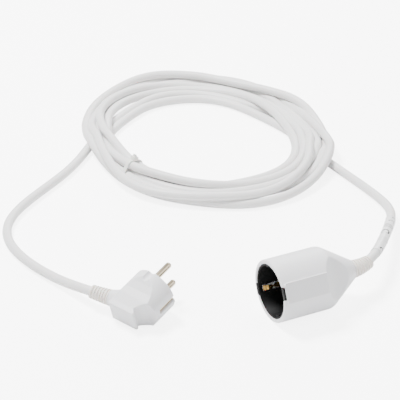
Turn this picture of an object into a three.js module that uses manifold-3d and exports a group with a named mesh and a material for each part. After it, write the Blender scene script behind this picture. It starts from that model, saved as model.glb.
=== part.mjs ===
// Domestic extension lead: a straight earthed coupler socket, a loosely coiled round cord and a
// right-angle earthed plug, as one assembly of separate pieces.
// Millimetres, +Z up. The lead lies on a table at z = 0. The coupler lies along X with its mouth
// facing -X, and the origin is on the table under the middle of the coupler's housing.
import * as THREE from "three";
import { mergeVertices } from "three/addons/utils/BufferGeometryUtils.js";
import Module from "manifold-3d";

const wasm = await Module();
wasm.setup();

// ---------------------------------------------------------------- driving dimensions
const GAP = 0.3; // between pieces that touch
const RUNNING_GAP = 0.5; // beside pieces that move

// cord
const CORD_DIAMETER = 7.6;
const CORE_DIAMETER = 2.6;
const CORE_CIRCLE = 1.75; // radius that the three cores lie on inside the jacket
const JACKET_INSIDE = 14; // length of jacket in the coupler's neck

// coupler housing
const COUPLER_LENGTH = 70.5;
const COUPLER_DIAMETER = 49;
const COUPLER_BARREL = 45; // length of the cylindrical part, from the mouth
const COUPLER_NECK_DIAMETER = 15.4;
const COUPLER_WALL = 2.9;
const COUPLER_ROLL = 25; // degrees that the lying coupler has rolled
const MOUTH_ROUND = 1.0;
const PAD_WIDTH = 16.5; // raised grip pad on each earth side
const PAD_RISE = 0.9; // of the pad's flat face over the barrel's crest
const SCOOP_RADIUS = 22; // hollow behind each pad, for finger and thumb
const SCOOP_START = 37; // from the mouth
const SCOOP_END = 60;
const RIM_NOTCH_WIDTH = 10;
const RIM_NOTCH_DEPTH = 1.6;
const RIM_TAB_RADIUS = 24.1; // reach of the insert's tabs that show in the rim
const CLIP_POCKET_DEPTH = 1.6; // in the housing wall, behind an earth clip
const CLAMP_RADIUS = 6.2; // of the ring that grips the jacket
const CLAMP_LENGTH = 2.4;

// contact insert of the coupler
const RECESS_DIAMETER = 40;
const RECESS_DEPTH = 17.5;
const INSERT_FLOOR = 3;
const PIN_SPACING = 19;
const PIN_HOLE_DIAMETER = 6.4;
const KEY_WIDTH = 5;
const KEY_HEIGHT = 1.5;
const KEY_SETBACK = 2;
const TOWER_WIDTH = 11; // across the line of the pins
const TOWER_INWARDS = 5.7; // from a pin's axis to the tower's inner side
const TOWER_OUTWARDS = 4.6;
const TOWER_LENGTH = 17;
const TOWER_SIDE_WALL = 1.2;
const TOWER_END_WALL = 1.3;
const BACK_COVER_THICKNESS = 2.4;

// contacts
const EARTH_CLIP_WIDTH = 4.4;
const EARTH_CLIP_THICKNESS = 0.8;
const EARTH_CLIP_BULGE = 17.4; // radius that the clips reach inwards to
const EARTH_CLIP_BULGE_DEPTH = 9; // from the mouth
const EARTH_BRIDGE_THICKNESS = 1;
const CONTACT_THICKNESS = 0.8;
const CONTACT_WIDTH = 5.6;
const CONTACT_OPEN = 4.4; // free gap between a contact's two leaves
const CONTACT_LENGTH = 11;

// bend sleeves
const SLEEVE_LENGTH = 17.5;
const SLEEVE_SPIGOT = 6.5; // length held in the housing
const SLEEVE_TIP_DIAMETER = 10.8;
const SLEEVE_RIBS = 6;
const SLEEVE_RIB_DEPTH = 0.9;
const COUPLER_SLEEVE_ROOT = 14.6;
const COUPLER_SLEEVE_TURN = 24; // degrees that the lying cord bends the sleeve
const PLUG_SLEEVE_ROOT = 12.9;
const PLUG_SLEEVE_TURN = 6;

// plug
const PLUG_DIAMETER = 36.8;
const PLUG_DEPTH = 35.5;
const PLUG_WALL = 2.4;
const PLUG_FLAT_START = 4; // behind the face
// points of a thumb flat, [half width, distance behind the face]
const PLUG_FLAT_SHOULDER = [16.6, 12];
const PLUG_FLAT_KNEE = [12.5, 23.4];
const PLUG_BACK_WIDTH = 17; // of the flat back, between the thumb flats
const PLUG_SLOPE_START = 22; // behind the face, on the side away from the cord
const PLUG_SLOPE_REACH = 8.5; // from the plug's axis to the slope's end
const PLUG_LIP = 1.8;
const PLUG_NECK_REACH = 24.3; // from the plug's axis to the bend sleeve
const PLUG_NECK_DEPTH = 21; // of the cord's axis behind the face
const PLUG_NECK_BORE = 5.4; // radius
const PLUG_CORD_TILT = 10.7; // degrees that the neck leans back from the face
const PLUG_CHAMBER_BACK = -27;
const PLUG_JACKET_START = 11; // from the plug's axis, along the neck
const PLUG_PIN_DIAMETER = 4.8;
const PLUG_PIN_LENGTH = 19;
const PLUG_STRIP_WIDTH = 3.8;
const PLUG_STRIP_THICKNESS = 0.8;
const PLUG_STRIP_SETBACK = 1.3; // below the round of the plug
const PLUG_STRIP_RECESS = 5.4; // width of the recess that holds a side strip
const PLUG_STRIP_LENGTH = 17;
const PLUG_GUIDE_WIDTH = 6; // grooves that pass the socket's keys
const PLUG_GUIDE_DEPTH = 2;
const PLUG_GUIDE_LENGTH = 8;
const CARRIER_THICKNESS = 8;

// where the plug lies, and how it is turned
const PLUG_FACE_CENTRE = [-106.25, 49, 19.5];
const PLUG_PIN_HEADING = 23.3; // degrees from +X, seen from above
const PLUG_PIN_RISE = 16.5; // degrees above the table
const PLUG_ROLL = 91.3; // degrees about the pins' direction

// coil, cable tie and label
const COIL_CENTRE = [44.25, 271];
const COIL_OUTER = [107, 128]; // half widths along X and Y
const COIL_INNER = [73, 86];
const COIL_BOTTOM = 0;
const COIL_TOP = 22.5;
const TIE_ANGLE = 184; // degrees round the coil, from +X
const TIE_WIDTH = 3.6;
const TIE_THICKNESS = 1.2;
const TIE_HEAD = [6, 5, 5];
const LABEL_START = 17; // along the coupler tail
const LABEL_LENGTH = 70;
const LABEL_THICKNESS = 0.6;

const FINE = 72; // facets round a large diameter
const COARSE = 24; // facets round a small one
const CORD_SIDES = 12;

// ---------------------------------------------------------------- colours
const SHELL_WHITE = 0xeeeef0;
const SLEEVE_WHITE = 0xf3eee8;
const CORD_WHITE = 0xe8e8e8;
const LABEL_WHITE = 0xf7f7f7;
const INSERT_BLACK = 0x101010;
const COVER_GREY = 0x55585c;
const NICKEL = 0xc8b9a0;
const BRASS = 0xb08d4a;
const CORE_BROWN = 0x6b3d22;
const CORE_BLUE = 0x2a5fa8;
const CORE_GREEN = 0x6d9a2b;

// ---------------------------------------------------------------- helpers
const degrees = (value) => (value * Math.PI) / 180;

// closed solid from a three.js geometry
function solid(geometry) {
  const bare = new THREE.BufferGeometry();
  bare.setAttribute("position", geometry.attributes.position);
  if (geometry.index) bare.setIndex(geometry.index);
  const merged = mergeVertices(bare, 1e-5);
  const points = merged.attributes.position.array;
  const index = merged.index.array;
  const kept = [];
  let volume = 0;
  const a = new THREE.Vector3();
  const b = new THREE.Vector3();
  const c = new THREE.Vector3();
  for (let i = 0; i < index.length; i += 3) {
    const [p, q, r] = [index[i], index[i + 1], index[i + 2]];
    if (p === q || q === r || r === p) continue;
    kept.push(p, q, r);
    a.fromArray(points, 3 * p);
    b.fromArray(points, 3 * q);
    c.fromArray(points, 3 * r);
    volume += a.dot(b.cross(c));
  }
  if (volume < 0) kept.reverse();
  return new wasm.Manifold(
    new wasm.Mesh({
      numProp: 3,
      vertProperties: new Float32Array(points),
      triVerts: new Uint32Array(kept),
    }),
  );
}

function mesh(name, body, colour) {
  const data = body.getMesh();
  const geometry = new THREE.BufferGeometry();
  const points = new Float32Array(data.vertProperties);
  geometry.setAttribute("position", new THREE.BufferAttribute(points, 3));
  geometry.setIndex(new THREE.BufferAttribute(new Uint32Array(data.triVerts), 1));
  geometry.computeVertexNormals();
  const piece = new THREE.Mesh(geometry, new THREE.MeshStandardMaterial({ color: colour }));
  piece.name = name;
  return piece;
}

// box between two corners
function box(low, high) {
  const [x, y, z] = [0, 1, 2].map((i) => high[i] - low[i]);
  const geometry = new THREE.BoxGeometry(x, y, z);
  geometry.translate((low[0] + high[0]) / 2, (low[1] + high[1]) / 2, (low[2] + high[2]) / 2);
  return solid(geometry);
}

// solid of revolution about X from [x, radius] points, first point repeated by the closing side
function turned(profile, facets, move = (geometry) => geometry) {
  const points = [...profile, profile[0]].map(([x, radius]) => new THREE.Vector2(radius, x));
  const geometry = new THREE.LatheGeometry(points, facets);
  geometry.rotateZ(-Math.PI / 2);
  return solid(move(geometry));
}

function rod(start, end, radius, facets, move) {
  return turned([[start, 0], [start, radius], [end, radius], [end, 0]], facets, move);
}

// flat outline of [x, z] points, pushed along Y from one side to the other
function slab(outline, from, to) {
  const shape = new THREE.Shape(outline.map(([x, z]) => new THREE.Vector2(x, z)));
  const geometry = new THREE.ExtrudeGeometry(shape, { depth: to - from, bevelEnabled: false });
  geometry.rotateX(Math.PI / 2);
  geometry.translate(0, to, 0);
  return solid(geometry);
}

function ringShape(outer, inner, sides) {
  const shape = new THREE.Shape();
  const around = (radius, i) => {
    const angle = (2 * Math.PI * i) / sides;
    return new THREE.Vector2(radius * Math.cos(angle), radius * Math.sin(angle));
  };
  shape.setFromPoints(Array.from({ length: sides }, (_, i) => around(outer, i)));
  if (inner > 0) {
    const hole = new THREE.Path();
    hole.setFromPoints(Array.from({ length: sides }, (_, i) => around(inner, sides - i)));
    shape.holes.push(hole);
  }
  return shape;
}

// tube along a curve
function tube(curve, steps, outer, inner = 0, sides = CORD_SIDES) {
  const options = { steps, bevelEnabled: false, extrudePath: curve };
  return solid(new THREE.ExtrudeGeometry(ringShape(outer, inner, sides), options));
}

function smoothCurve(points) {
  const through = points.map((point) => new THREE.Vector3(...point));
  return new THREE.CatmullRomCurve3(through, false, "centripetal");
}

// stretch of another curve, between two distances along it
class Stretch extends THREE.Curve {
  constructor(whole, from, to) {
    super();
    this.whole = whole;
    this.from = from;
    this.to = to;
  }

  getPoint(t, target = new THREE.Vector3()) {
    const distance = this.from + (this.to - this.from) * t;
    return target.copy(this.whole.getPointAt(distance / this.whole.getLength()));
  }
}

// bend a geometry that lies along +X from x = 0 sideways into an arc towards +Y
function bend(geometry, length, turn) {
  const radius = length / degrees(turn);
  const position = geometry.attributes.position;
  for (let i = 0; i < position.count; i += 1) {
    const along = Math.max(position.getX(i), 0);
    const before = Math.min(position.getX(i), 0);
    const reach = radius - position.getY(i);
    position.setX(i, before + reach * Math.sin(along / radius));
    position.setY(i, radius - reach * Math.cos(along / radius));
  }
  return geometry;
}

function group(parent, position, rotation = [0, 0, 0], order = "XYZ") {
  const made = new THREE.Group();
  made.position.set(...position);
  made.rotation.set(...rotation.map(degrees), order);
  parent.add(made);
  return made;
}

const root = new THREE.Group();
root.name = "extension_lead";

// ---------------------------------------------------------------- coupler
// Its own frame: +X from the mouth to the cord, the earth clips at +Y and -Y, the pins' holes at
// +Z and -Z. The group rolls it about X as it lies.
const mouth = -COUPLER_LENGTH / 2;
const neckEnd = COUPLER_LENGTH / 2;
const barrelRadius = COUPLER_DIAMETER / 2;
const barrelEnd = mouth + COUPLER_BARREL;
const neckRadius = COUPLER_NECK_DIAMETER / 2;
const boreRadius = barrelRadius - COUPLER_WALL;
const padFace = barrelRadius + PAD_RISE;
const floorFront = mouth + RECESS_DEPTH;
const floorBack = floorFront + INSERT_FLOOR;
const towerBack = floorBack + TOWER_LENGTH;
const coverFront = towerBack + GAP;
const coverBack = coverFront + BACK_COVER_THICKNESS;
const towerReach = Math.hypot(TOWER_WIDTH / 2, PIN_SPACING / 2 + TOWER_OUTWARDS);
const chamberRadius = towerReach + RUNNING_GAP + GAP;
const shoulder = floorBack + 3.5; // where the bore narrows behind the insert's floor
const chamberEnd = coverBack + 2;
const sleeveBore = CORD_DIAMETER / 2 + GAP;
const couplerSpigot = sleeveBore + 1.5;
const couplerNeckBore = couplerSpigot + GAP;
const coneStart = neckEnd - SLEEVE_SPIGOT - 2;

const coupler = group(root, [0, 0, barrelRadius], [-COUPLER_ROLL, 0, 0]);

function couplerHousing() {
  let body = turned(
    [
      [mouth + MOUTH_ROUND, barrelRadius],
      [barrelEnd, barrelRadius],
      [neckEnd, neckRadius],
      [neckEnd, couplerNeckBore],
      [coneStart, couplerNeckBore],
      [chamberEnd, chamberRadius],
      [shoulder + 1.5, chamberRadius],
      [shoulder, boreRadius],
      [mouth, boreRadius],
      [mouth, barrelRadius - MOUTH_ROUND],
      [mouth + 0.3 * MOUTH_ROUND, barrelRadius - 0.3 * MOUTH_ROUND],
    ],
    FINE,
  );
  for (const side of [-1, 1]) {
    const ys = [side * (boreRadius + 0.6), side * padFace].sort((a, b) => a - b);
    const padStart = mouth + MOUTH_ROUND;
    body = body.add(
      box([padStart, ys[0], -PAD_WIDTH / 2], [mouth + SCOOP_START + 4, ys[1], PAD_WIDTH / 2]),
    );
  }
  return body;
}

// centre of the circle that hollows the housing behind a pad, in the XY plane on the +Y side
function scoopCentre() {
  const slope = (barrelRadius - neckRadius) / (neckEnd - barrelEnd);
  const start = new THREE.Vector2(mouth + SCOOP_START, padFace);
  const end = new THREE.Vector2(mouth + SCOOP_END, 0);
  end.y = barrelRadius - slope * (end.x - barrelEnd);
  const chord = end.clone().sub(start);
  const rise = Math.sqrt(SCOOP_RADIUS ** 2 - chord.lengthSq() / 4);
  const normal = new THREE.Vector2(-chord.y, chord.x).normalize();
  return start.add(chord.multiplyScalar(0.5)).add(normal.multiplyScalar(rise));
}

function cutCouplerHousing() {
  let body = couplerHousing();
  const centre = scoopCentre();
  const scoop = rod(-barrelRadius, barrelRadius, SCOOP_RADIUS, 2 * FINE, (geometry) => {
    geometry.rotateY(Math.PI / 2);
    return geometry.translate(centre.x, centre.y, 0);
  });
  const otherScoop = rod(-barrelRadius, barrelRadius, SCOOP_RADIUS, 2 * FINE, (geometry) => {
    geometry.rotateY(Math.PI / 2);
    return geometry.translate(centre.x, -centre.y, 0);
  });
  body = body.subtract(scoop).subtract(otherScoop);
  for (const side of [-1, 1]) {
    const notch = [side * (boreRadius - 3), side * (padFace + 3)].sort((a, b) => a - b);
    body = body.subtract(
      box(
        [mouth - 1, notch[0], -RIM_NOTCH_WIDTH / 2],
        [mouth + RIM_NOTCH_DEPTH, notch[1], RIM_NOTCH_WIDTH / 2],
      ),
    );
    const pocket = [side * (boreRadius - 3), side * (boreRadius + CLIP_POCKET_DEPTH)];
    pocket.sort((a, b) => a - b);
    const half = EARTH_CLIP_WIDTH / 2 + 2 * RUNNING_GAP;
    const pocketFront = mouth + RIM_NOTCH_DEPTH + 1;
    body = body.subtract(box([pocketFront, pocket[0], -half], [shoulder, pocket[1], half]));
  }
  return body;
}

coupler.add(mesh("coupler_housing", cutCouplerHousing(), SHELL_WHITE));

const insertRadius = boreRadius - GAP;
const recessRadius = RECESS_DIAMETER / 2;
const towerInside = PIN_SPACING / 2 - TOWER_INWARDS;
const towerOutside = PIN_SPACING / 2 + TOWER_OUTWARDS;
const slotHalf = EARTH_CLIP_WIDTH / 2 + RUNNING_GAP;

function couplerInsert() {
  const rimSetback = 0.6;
  const front = mouth + rimSetback;
  let body = turned(
    [
      [front, recessRadius],
      [front, insertRadius],
      [floorBack, insertRadius],
      [floorBack, 0],
      [floorFront, 0],
      [floorFront, recessRadius],
    ],
    FINE,
  );
  for (const side of [-1, 1]) {
    // keys in line with the pins
    const key = [side * (recessRadius - KEY_HEIGHT), side * (recessRadius + 0.6)];
    key.sort((a, b) => a - b);
    body = body.add(
      box([mouth + KEY_SETBACK, -KEY_WIDTH / 2, key[0]], [floorFront + 1, KEY_WIDTH / 2, key[1]]),
    );
    // towers round the line contacts
    const tower = [side * towerInside, side * towerOutside].sort((a, b) => a - b);
    const halfWidth = TOWER_WIDTH / 2;
    body = body.add(box([floorBack - 1, -halfWidth, tower[0]], [towerBack, halfWidth, tower[1]]));
    // tabs in the housing's rim notches
    const tab = [side * (recessRadius + 0.5), side * RIM_TAB_RADIUS].sort((a, b) => a - b);
    const tabHalf = RIM_NOTCH_WIDTH / 2 - GAP;
    body = body.add(
      box([mouth + GAP, tab[0], -tabHalf], [mouth + RIM_NOTCH_DEPTH - GAP, tab[1], tabHalf]),
    );
  }
  for (const side of [-1, 1]) {
    const pocket = [side * towerInside, side * towerOutside].sort((a, b) => a - b);
    const halfWidth = TOWER_WIDTH / 2 - TOWER_SIDE_WALL;
    body = body.subtract(
      box(
        [floorBack - 0.2, -halfWidth, pocket[0] + TOWER_END_WALL],
        [towerBack + 1, halfWidth, pocket[1] - TOWER_END_WALL],
      ),
    );
    const hole = rod(floorFront - 1, floorBack + 1, PIN_HOLE_DIAMETER / 2, COARSE, (geometry) =>
      geometry.translate(0, 0, (side * PIN_SPACING) / 2),
    );
    body = body.subtract(hole);
    // slot that an earth clip stands in
    const slot = [side * clipSlotInside, side * (insertRadius + 1)].sort((a, b) => a - b);
    body = body.subtract(
      box([mouth + RIM_NOTCH_DEPTH + 0.4, slot[0], -slotHalf], [floorBack + 1, slot[1], slotHalf]),
    );
  }
  return body;
}

// earth clips: spring arms that reach inwards to touch a plug's earth strips
const clipRoot = [floorBack + 0.8, recessRadius - 0.7]; // where an arm flexes, [x, y]
const clipSlotInside = clipRoot[1] - EARTH_CLIP_THICKNESS / 2 - RUNNING_GAP;

// flat strip that follows [x, y] points, given a thickness, between two heights
function strip(path, thickness, low, high) {
  const points = path.map(([x, y]) => new THREE.Vector2(x, y));
  const offset = (i) => {
    const before = points[Math.max(i - 1, 0)];
    const after = points[Math.min(i + 1, points.length - 1)];
    const along = after.clone().sub(before).normalize();
    return new THREE.Vector2(-along.y, along.x).multiplyScalar(thickness / 2);
  };
  const left = points.map((point, i) => point.clone().add(offset(i)));
  const right = points.map((point, i) => point.clone().sub(offset(i)));
  const shape = new THREE.Shape([...left, ...right.reverse()]);
  const geometry = new THREE.ExtrudeGeometry(shape, { depth: high - low, bevelEnabled: false });
  return solid(geometry.translate(0, 0, low));
}

function earthClip(side) {
  const bulge = EARTH_CLIP_BULGE + EARTH_CLIP_THICKNESS / 2;
  const bulgeAt = mouth + EARTH_CLIP_BULGE_DEPTH;
  const path = [
    [clipRoot[0], clipRoot[1]],
    [floorFront - 1.5, clipRoot[1] + 0.2],
    [bulgeAt + 4, bulge + 0.9],
    [bulgeAt + 1.6, bulge + 0.15],
    [bulgeAt, bulge],
    [bulgeAt - 1.6, bulge + 0.3],
    [bulgeAt - 3.6, bulge + 1.5],
    [bulgeAt - 4.7, bulge + 2.4],
  ];
  return strip(
    path.map(([x, y]) => [x, side * y]),
    EARTH_CLIP_THICKNESS,
    -EARTH_CLIP_WIDTH / 2,
    EARTH_CLIP_WIDTH / 2,
  );
}

coupler.add(mesh("coupler_insert", couplerInsert(), INSERT_BLACK));
coupler.add(mesh("earth_clip_near", earthClip(-1), BRASS));
coupler.add(mesh("earth_clip_far", earthClip(1), BRASS));

// strip that joins the two clips behind the insert's floor, with a tail for the earth core
const crimpEnd = coverBack + 4;
const crimpRadius = CORE_DIAMETER / 2 + 0.5;

function earthBridge() {
  const reach = clipRoot[1] - EARTH_CLIP_THICKNESS / 2 - GAP;
  const front = floorBack + GAP;
  const half = EARTH_CLIP_WIDTH / 2 - GAP;
  const across = box([front, -reach, -half], [front + EARTH_BRIDGE_THICKNESS, reach, half]);
  const tail = box([front, -0.5, -half + 0.3], [coverBack + 1, 0.5, half - 0.3]);
  return across.add(tail).add(rod(coverBack + 0.6, crimpEnd, crimpRadius, COARSE));
}

coupler.add(mesh("earth_bridge", earthBridge(), BRASS));

// line contacts: a channel with one fixed leaf and one spring leaf on either side of a pin
const leafFront = floorBack + GAP;
const leafRoot = leafFront + CONTACT_LENGTH;
const leafInner = CONTACT_OPEN / 2;
const leafCentre = leafInner + CONTACT_THICKNESS / 2;

function lineContact(side) {
  const centre = (side * PIN_SPACING) / 2;
  const half = CONTACT_WIDTH / 2;
  const webFront = leafRoot + RUNNING_GAP;
  const fixedLeaf = box(
    [leafFront, -leafInner - CONTACT_THICKNESS, centre - half],
    [webFront + CONTACT_THICKNESS, -leafInner, centre + half],
  );
  const web = box(
    [webFront, -leafInner - CONTACT_THICKNESS, centre - half],
    [webFront + CONTACT_THICKNESS, leafInner + CONTACT_THICKNESS, centre + half],
  );
  const tail = box([webFront, -1, centre - 1], [coverBack + 1, 1, centre + 1]);
  const crimp = rod(coverBack + 0.6, crimpEnd, crimpRadius, COARSE, (geometry) =>
    geometry.translate(0, 0, centre),
  );
  return fixedLeaf.add(web).add(tail).add(crimp);
}

function contactLeaf(side) {
  const centre = (side * PIN_SPACING) / 2;
  const path = [
    [leafRoot, leafCentre],
    [leafFront + 3.2, leafCentre],
    [leafFront + 1.8, leafCentre],
    [leafFront + 0.3, leafCentre + 0.45],
  ];
  const half = CONTACT_WIDTH / 2;
  return strip(path, CONTACT_THICKNESS, centre - half, centre + half);
}

coupler.add(mesh("line_contact_upper", lineContact(1), BRASS));
coupler.add(mesh("line_contact_lower", lineContact(-1), BRASS));
coupler.add(mesh("contact_leaf_upper", contactLeaf(1), BRASS));
coupler.add(mesh("contact_leaf_lower", contactLeaf(-1), BRASS));

// cover that holds the contacts in their towers
function contactRetainer() {
  let body = box(
    [coverFront, -TOWER_WIDTH / 2, -towerOutside],
    [coverBack, TOWER_WIDTH / 2, towerOutside],
  );
  for (const centre of [-PIN_SPACING / 2, 0, PIN_SPACING / 2]) {
    const half = centre === 0 ? EARTH_CLIP_WIDTH / 2 - 0.3 : 1 + GAP;
    const side = centre === 0 ? 0.5 + GAP : 1 + GAP;
    body = body.subtract(
      box([coverFront - 1, -side, centre - half], [coverBack + 1, side, centre + half]),
    );
  }
  return body;
}

coupler.add(mesh("contact_retainer", contactRetainer(), COVER_GREY));

// insulated cores from the crimps to the end of the cord's jacket
const jacketStart = neckEnd - JACKET_INSIDE;

function couplerCore(start, angle) {
  const y = CORE_CIRCLE * Math.cos(degrees(angle));
  const z = CORE_CIRCLE * Math.sin(degrees(angle));
  const from = crimpEnd + GAP;
  const to = jacketStart - GAP;
  const path = smoothCurve([
    [from, 0, start],
    [from + 3, 0, start],
    [to - 4, y * 1.4, z * 1.5],
    [to - 1.5, y, z],
    [to, y, z],
  ]);
  return tube(path, 8, CORE_DIAMETER / 2, 0, 8);
}

coupler.add(mesh("coupler_core_live", couplerCore(PIN_SPACING / 2, 60), CORE_BROWN));
coupler.add(mesh("coupler_core_neutral", couplerCore(-PIN_SPACING / 2, -60), CORE_BLUE));
coupler.add(mesh("coupler_core_earth", couplerCore(0, 180), CORE_GREEN));

// ring that grips the jacket inside a housing
function cordClamp(start, length, outer) {
  return turned(
    [
      [start, sleeveBore],
      [start, outer],
      [start + length, outer],
      [start + length, sleeveBore],
    ],
    COARSE,
  );
}

const couplerClamp = cordClamp(jacketStart + 0.6, CLAMP_LENGTH, CLAMP_RADIUS);
coupler.add(mesh("coupler_cord_clamp", couplerClamp, COVER_GREY));

// ---------------------------------------------------------------- bend sleeves
// Straight along +X from x = 0 at the housing's neck, then bent as a whole.
function bendSleeve(rootDiameter, spigotRadius, turn) {
  const rootRadius = rootDiameter / 2;
  const tipRadius = SLEEVE_TIP_DIAMETER / 2;
  const outerAt = (x) => rootRadius + ((tipRadius - rootRadius) * x) / SLEEVE_LENGTH;
  const outline = [
    [SLEEVE_LENGTH, sleeveBore],
    [-SLEEVE_SPIGOT, sleeveBore],
    [-SLEEVE_SPIGOT, spigotRadius],
    [GAP, spigotRadius],
    [GAP, rootRadius],
  ];
  const pitch = (SLEEVE_LENGTH - 1.2) / SLEEVE_RIBS;
  for (let i = 0; i < SLEEVE_RIBS; i += 1) {
    const x = 1.8 + i * pitch;
    const slotEnd = x + 0.45 * pitch;
    outline.push(
      [x, outerAt(x)],
      [x + 0.15, outerAt(x) - SLEEVE_RIB_DEPTH],
      [slotEnd, outerAt(slotEnd) - SLEEVE_RIB_DEPTH],
      [slotEnd + 0.15, outerAt(slotEnd)],
    );
  }
  outline.push([SLEEVE_LENGTH, tipRadius]);
  // points along the bore too, so that it bends with the outside
  const bore = [];
  for (let i = SLEEVE_RIBS - 1; i >= 0; i -= 1) {
    bore.push([(SLEEVE_LENGTH * i) / SLEEVE_RIBS, sleeveBore]);
  }
  outline.splice(1, 0, ...bore);
  return turned(outline, COARSE, (geometry) => bend(geometry, SLEEVE_LENGTH, turn));
}

function jacketEnd(start, turn) {
  const radius = CORD_DIAMETER / 2;
  const outline = [
    [start, 0],
    [start, radius],
  ];
  for (let i = 0; i <= SLEEVE_RIBS; i += 1) {
    outline.push([(SLEEVE_LENGTH * i) / SLEEVE_RIBS, radius]);
  }
  outline.push([SLEEVE_LENGTH, 0]);
  return turned(outline, CORD_SIDES, (geometry) => bend(geometry, SLEEVE_LENGTH, turn));
}

const couplerExit = group(root, [neckEnd, 0, barrelRadius]);
couplerExit.add(
  mesh(
    "coupler_bend_sleeve",
    bendSleeve(COUPLER_SLEEVE_ROOT, couplerSpigot, COUPLER_SLEEVE_TURN),
    SLEEVE_WHITE,
  ),
);
couplerExit.add(
  mesh("cord_end_coupler", jacketEnd(jacketStart - neckEnd, COUPLER_SLEEVE_TURN), CORD_WHITE),
);

// ---------------------------------------------------------------- plug
// Its own frame: the face at z = 0 with the pins along +Z at +Y and -Y, and the cord leaving
// towards +X.
const plugTurn = group(root, PLUG_FACE_CENTRE, [0, 0, PLUG_PIN_HEADING]);
const plugTilt = group(plugTurn, [0, 0, 0], [0, 90 - PLUG_PIN_RISE, 0]);
const plug = group(plugTilt, [0, 0, 0], [0, 0, PLUG_ROLL]);

const plugRadius = PLUG_DIAMETER / 2;
const carrierRadius = plugRadius - PLUG_WALL;
const carrierBack = -CARRIER_THICKNESS;

const exit = group(plug, [0, 0, -PLUG_NECK_DEPTH], [0, PLUG_CORD_TILT, 0]);

const upright = (geometry) => geometry.rotateY(-Math.PI / 2);

// same tilt and place as the neck, for solids that are built along X from the plug's axis
const alongNeck = (geometry) => {
  geometry.rotateY(degrees(PLUG_CORD_TILT));
  return geometry.translate(0, 0, -PLUG_NECK_DEPTH);
};

function plugShell() {
  // a round body whose back is cut to a lip on the side away from the cord
  const slopeTop = [-PLUG_SLOPE_REACH + 3, -PLUG_DEPTH + 4];
  const outline = [
    [-plugRadius - 1, 1],
    [-plugRadius - 1, -PLUG_SLOPE_START + 0.5],
    [-plugRadius + 4.5, -PLUG_SLOPE_START - 1.8],
    [-plugRadius + 8.5, -PLUG_SLOPE_START - 4.2],
    [-plugRadius + 11.2, -PLUG_SLOPE_START - 6.8],
    slopeTop,
    [-PLUG_SLOPE_REACH + 0.6, -PLUG_DEPTH + 3 - PLUG_LIP / 2],
    [-PLUG_SLOPE_REACH, -PLUG_DEPTH + PLUG_LIP / 2],
    [-PLUG_SLOPE_REACH + 0.8, -PLUG_DEPTH],
    [16, -PLUG_DEPTH],
    [plugRadius, -PLUG_DEPTH + 8],
    [plugRadius + 1, -PLUG_DEPTH + 10],
    [plugRadius + 1, 1],
  ];
  const round = rod(-PLUG_DEPTH - 1, 0, plugRadius, FINE, upright);
  let body = round.intersect(slab(outline, -plugRadius - 1, plugRadius + 1));
  // neck towards the bend sleeve
  const neck = turned(
    [
      [6, 0],
      [6, 9.6],
      [17, 8.6],
      [21.5, 7],
      [PLUG_NECK_REACH, PLUG_SLEEVE_ROOT / 2],
      [PLUG_NECK_REACH, 0],
    ],
    2 * COARSE,
    alongNeck,
  );
  body = body.add(neck);
  // thumb flats
  for (const side of [-1, 1]) {
    const start = -PLUG_FLAT_START;
    const outer = plugRadius + 6;
    const flat = [
      [plugRadius + 0.6, start],
      [PLUG_FLAT_SHOULDER[0], -PLUG_FLAT_SHOULDER[1]],
      [PLUG_FLAT_KNEE[0], -PLUG_FLAT_KNEE[1]],
      [PLUG_BACK_WIDTH / 2, -PLUG_DEPTH - 1],
      [outer, -PLUG_DEPTH - 1],
      [outer, start],
    ].map(([y, z]) => [side * y, z]);
    if (side > 0) flat.reverse();
    const shape = new THREE.Shape(flat.map(([y, z]) => new THREE.Vector2(y, z)));
    const options = { depth: 4 * plugRadius, bevelEnabled: false };
    const geometry = new THREE.ExtrudeGeometry(shape, options);
    // shape X to the plug's Y, shape Y to the plug's Z, and the depth along X
    const turn = new THREE.Matrix4().makeBasis(
      new THREE.Vector3(0, 1, 0),
      new THREE.Vector3(0, 0, 1),
      new THREE.Vector3(1, 0, 0),
    );
    geometry.applyMatrix4(turn).translate(-2 * plugRadius, 0, 0);
    body = body.subtract(solid(geometry));
  }
  return body;
}

// outside of the earth strips, from the plug's axis
const stripFace = plugRadius - PLUG_STRIP_SETBACK;
const stripInside = stripFace - PLUG_STRIP_THICKNESS;
const bridgeFront = carrierBack - GAP;

function plugHousing() {
  let body = plugShell();
  // pocket for the carrier, chamber for the connections, and the way out for the cord
  body = body.subtract(rod(carrierBack - GAP - 2.2, 1, carrierRadius, FINE, upright));
  body = body.subtract(box([-8, -8, PLUG_CHAMBER_BACK], [14, 8, carrierBack]));
  body = body.subtract(box([-8, -11.2, -18.5], [12, 11.2, carrierBack]));
  body = body.subtract(box([-8, -12.6, -14], [10, 12.6, carrierBack]));
  body = body.subtract(rod(8, PLUG_NECK_REACH + 2, PLUG_NECK_BORE, COARSE, alongNeck));
  for (const side of [-1, 1]) {
    // recess for an earth strip, and the slot that lets it in to the chamber
    const outer = [side * (stripInside - GAP), side * (plugRadius + 1)].sort((a, b) => a - b);
    const half = PLUG_STRIP_RECESS / 2;
    body = body.subtract(box([outer[0], -half, -PLUG_STRIP_LENGTH - 1], [outer[1], half, 1]));
    const through = [side * (carrierRadius - 1), side * plugRadius].sort((a, b) => a - b);
    const low = bridgeFront - EARTH_BRIDGE_THICKNESS - GAP;
    body = body.subtract(box([through[0], -half, low], [through[1], half, carrierBack + 1]));
    // guide groove for the socket's key
    const groove = [side * (plugRadius - PLUG_GUIDE_DEPTH), side * (plugRadius + 1)];
    groove.sort((a, b) => a - b);
    const guide = PLUG_GUIDE_WIDTH / 2;
    body = body.subtract(box([-guide, groove[0], -PLUG_GUIDE_LENGTH], [guide, groove[1], 1]));
  }
  return body;
}

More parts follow.
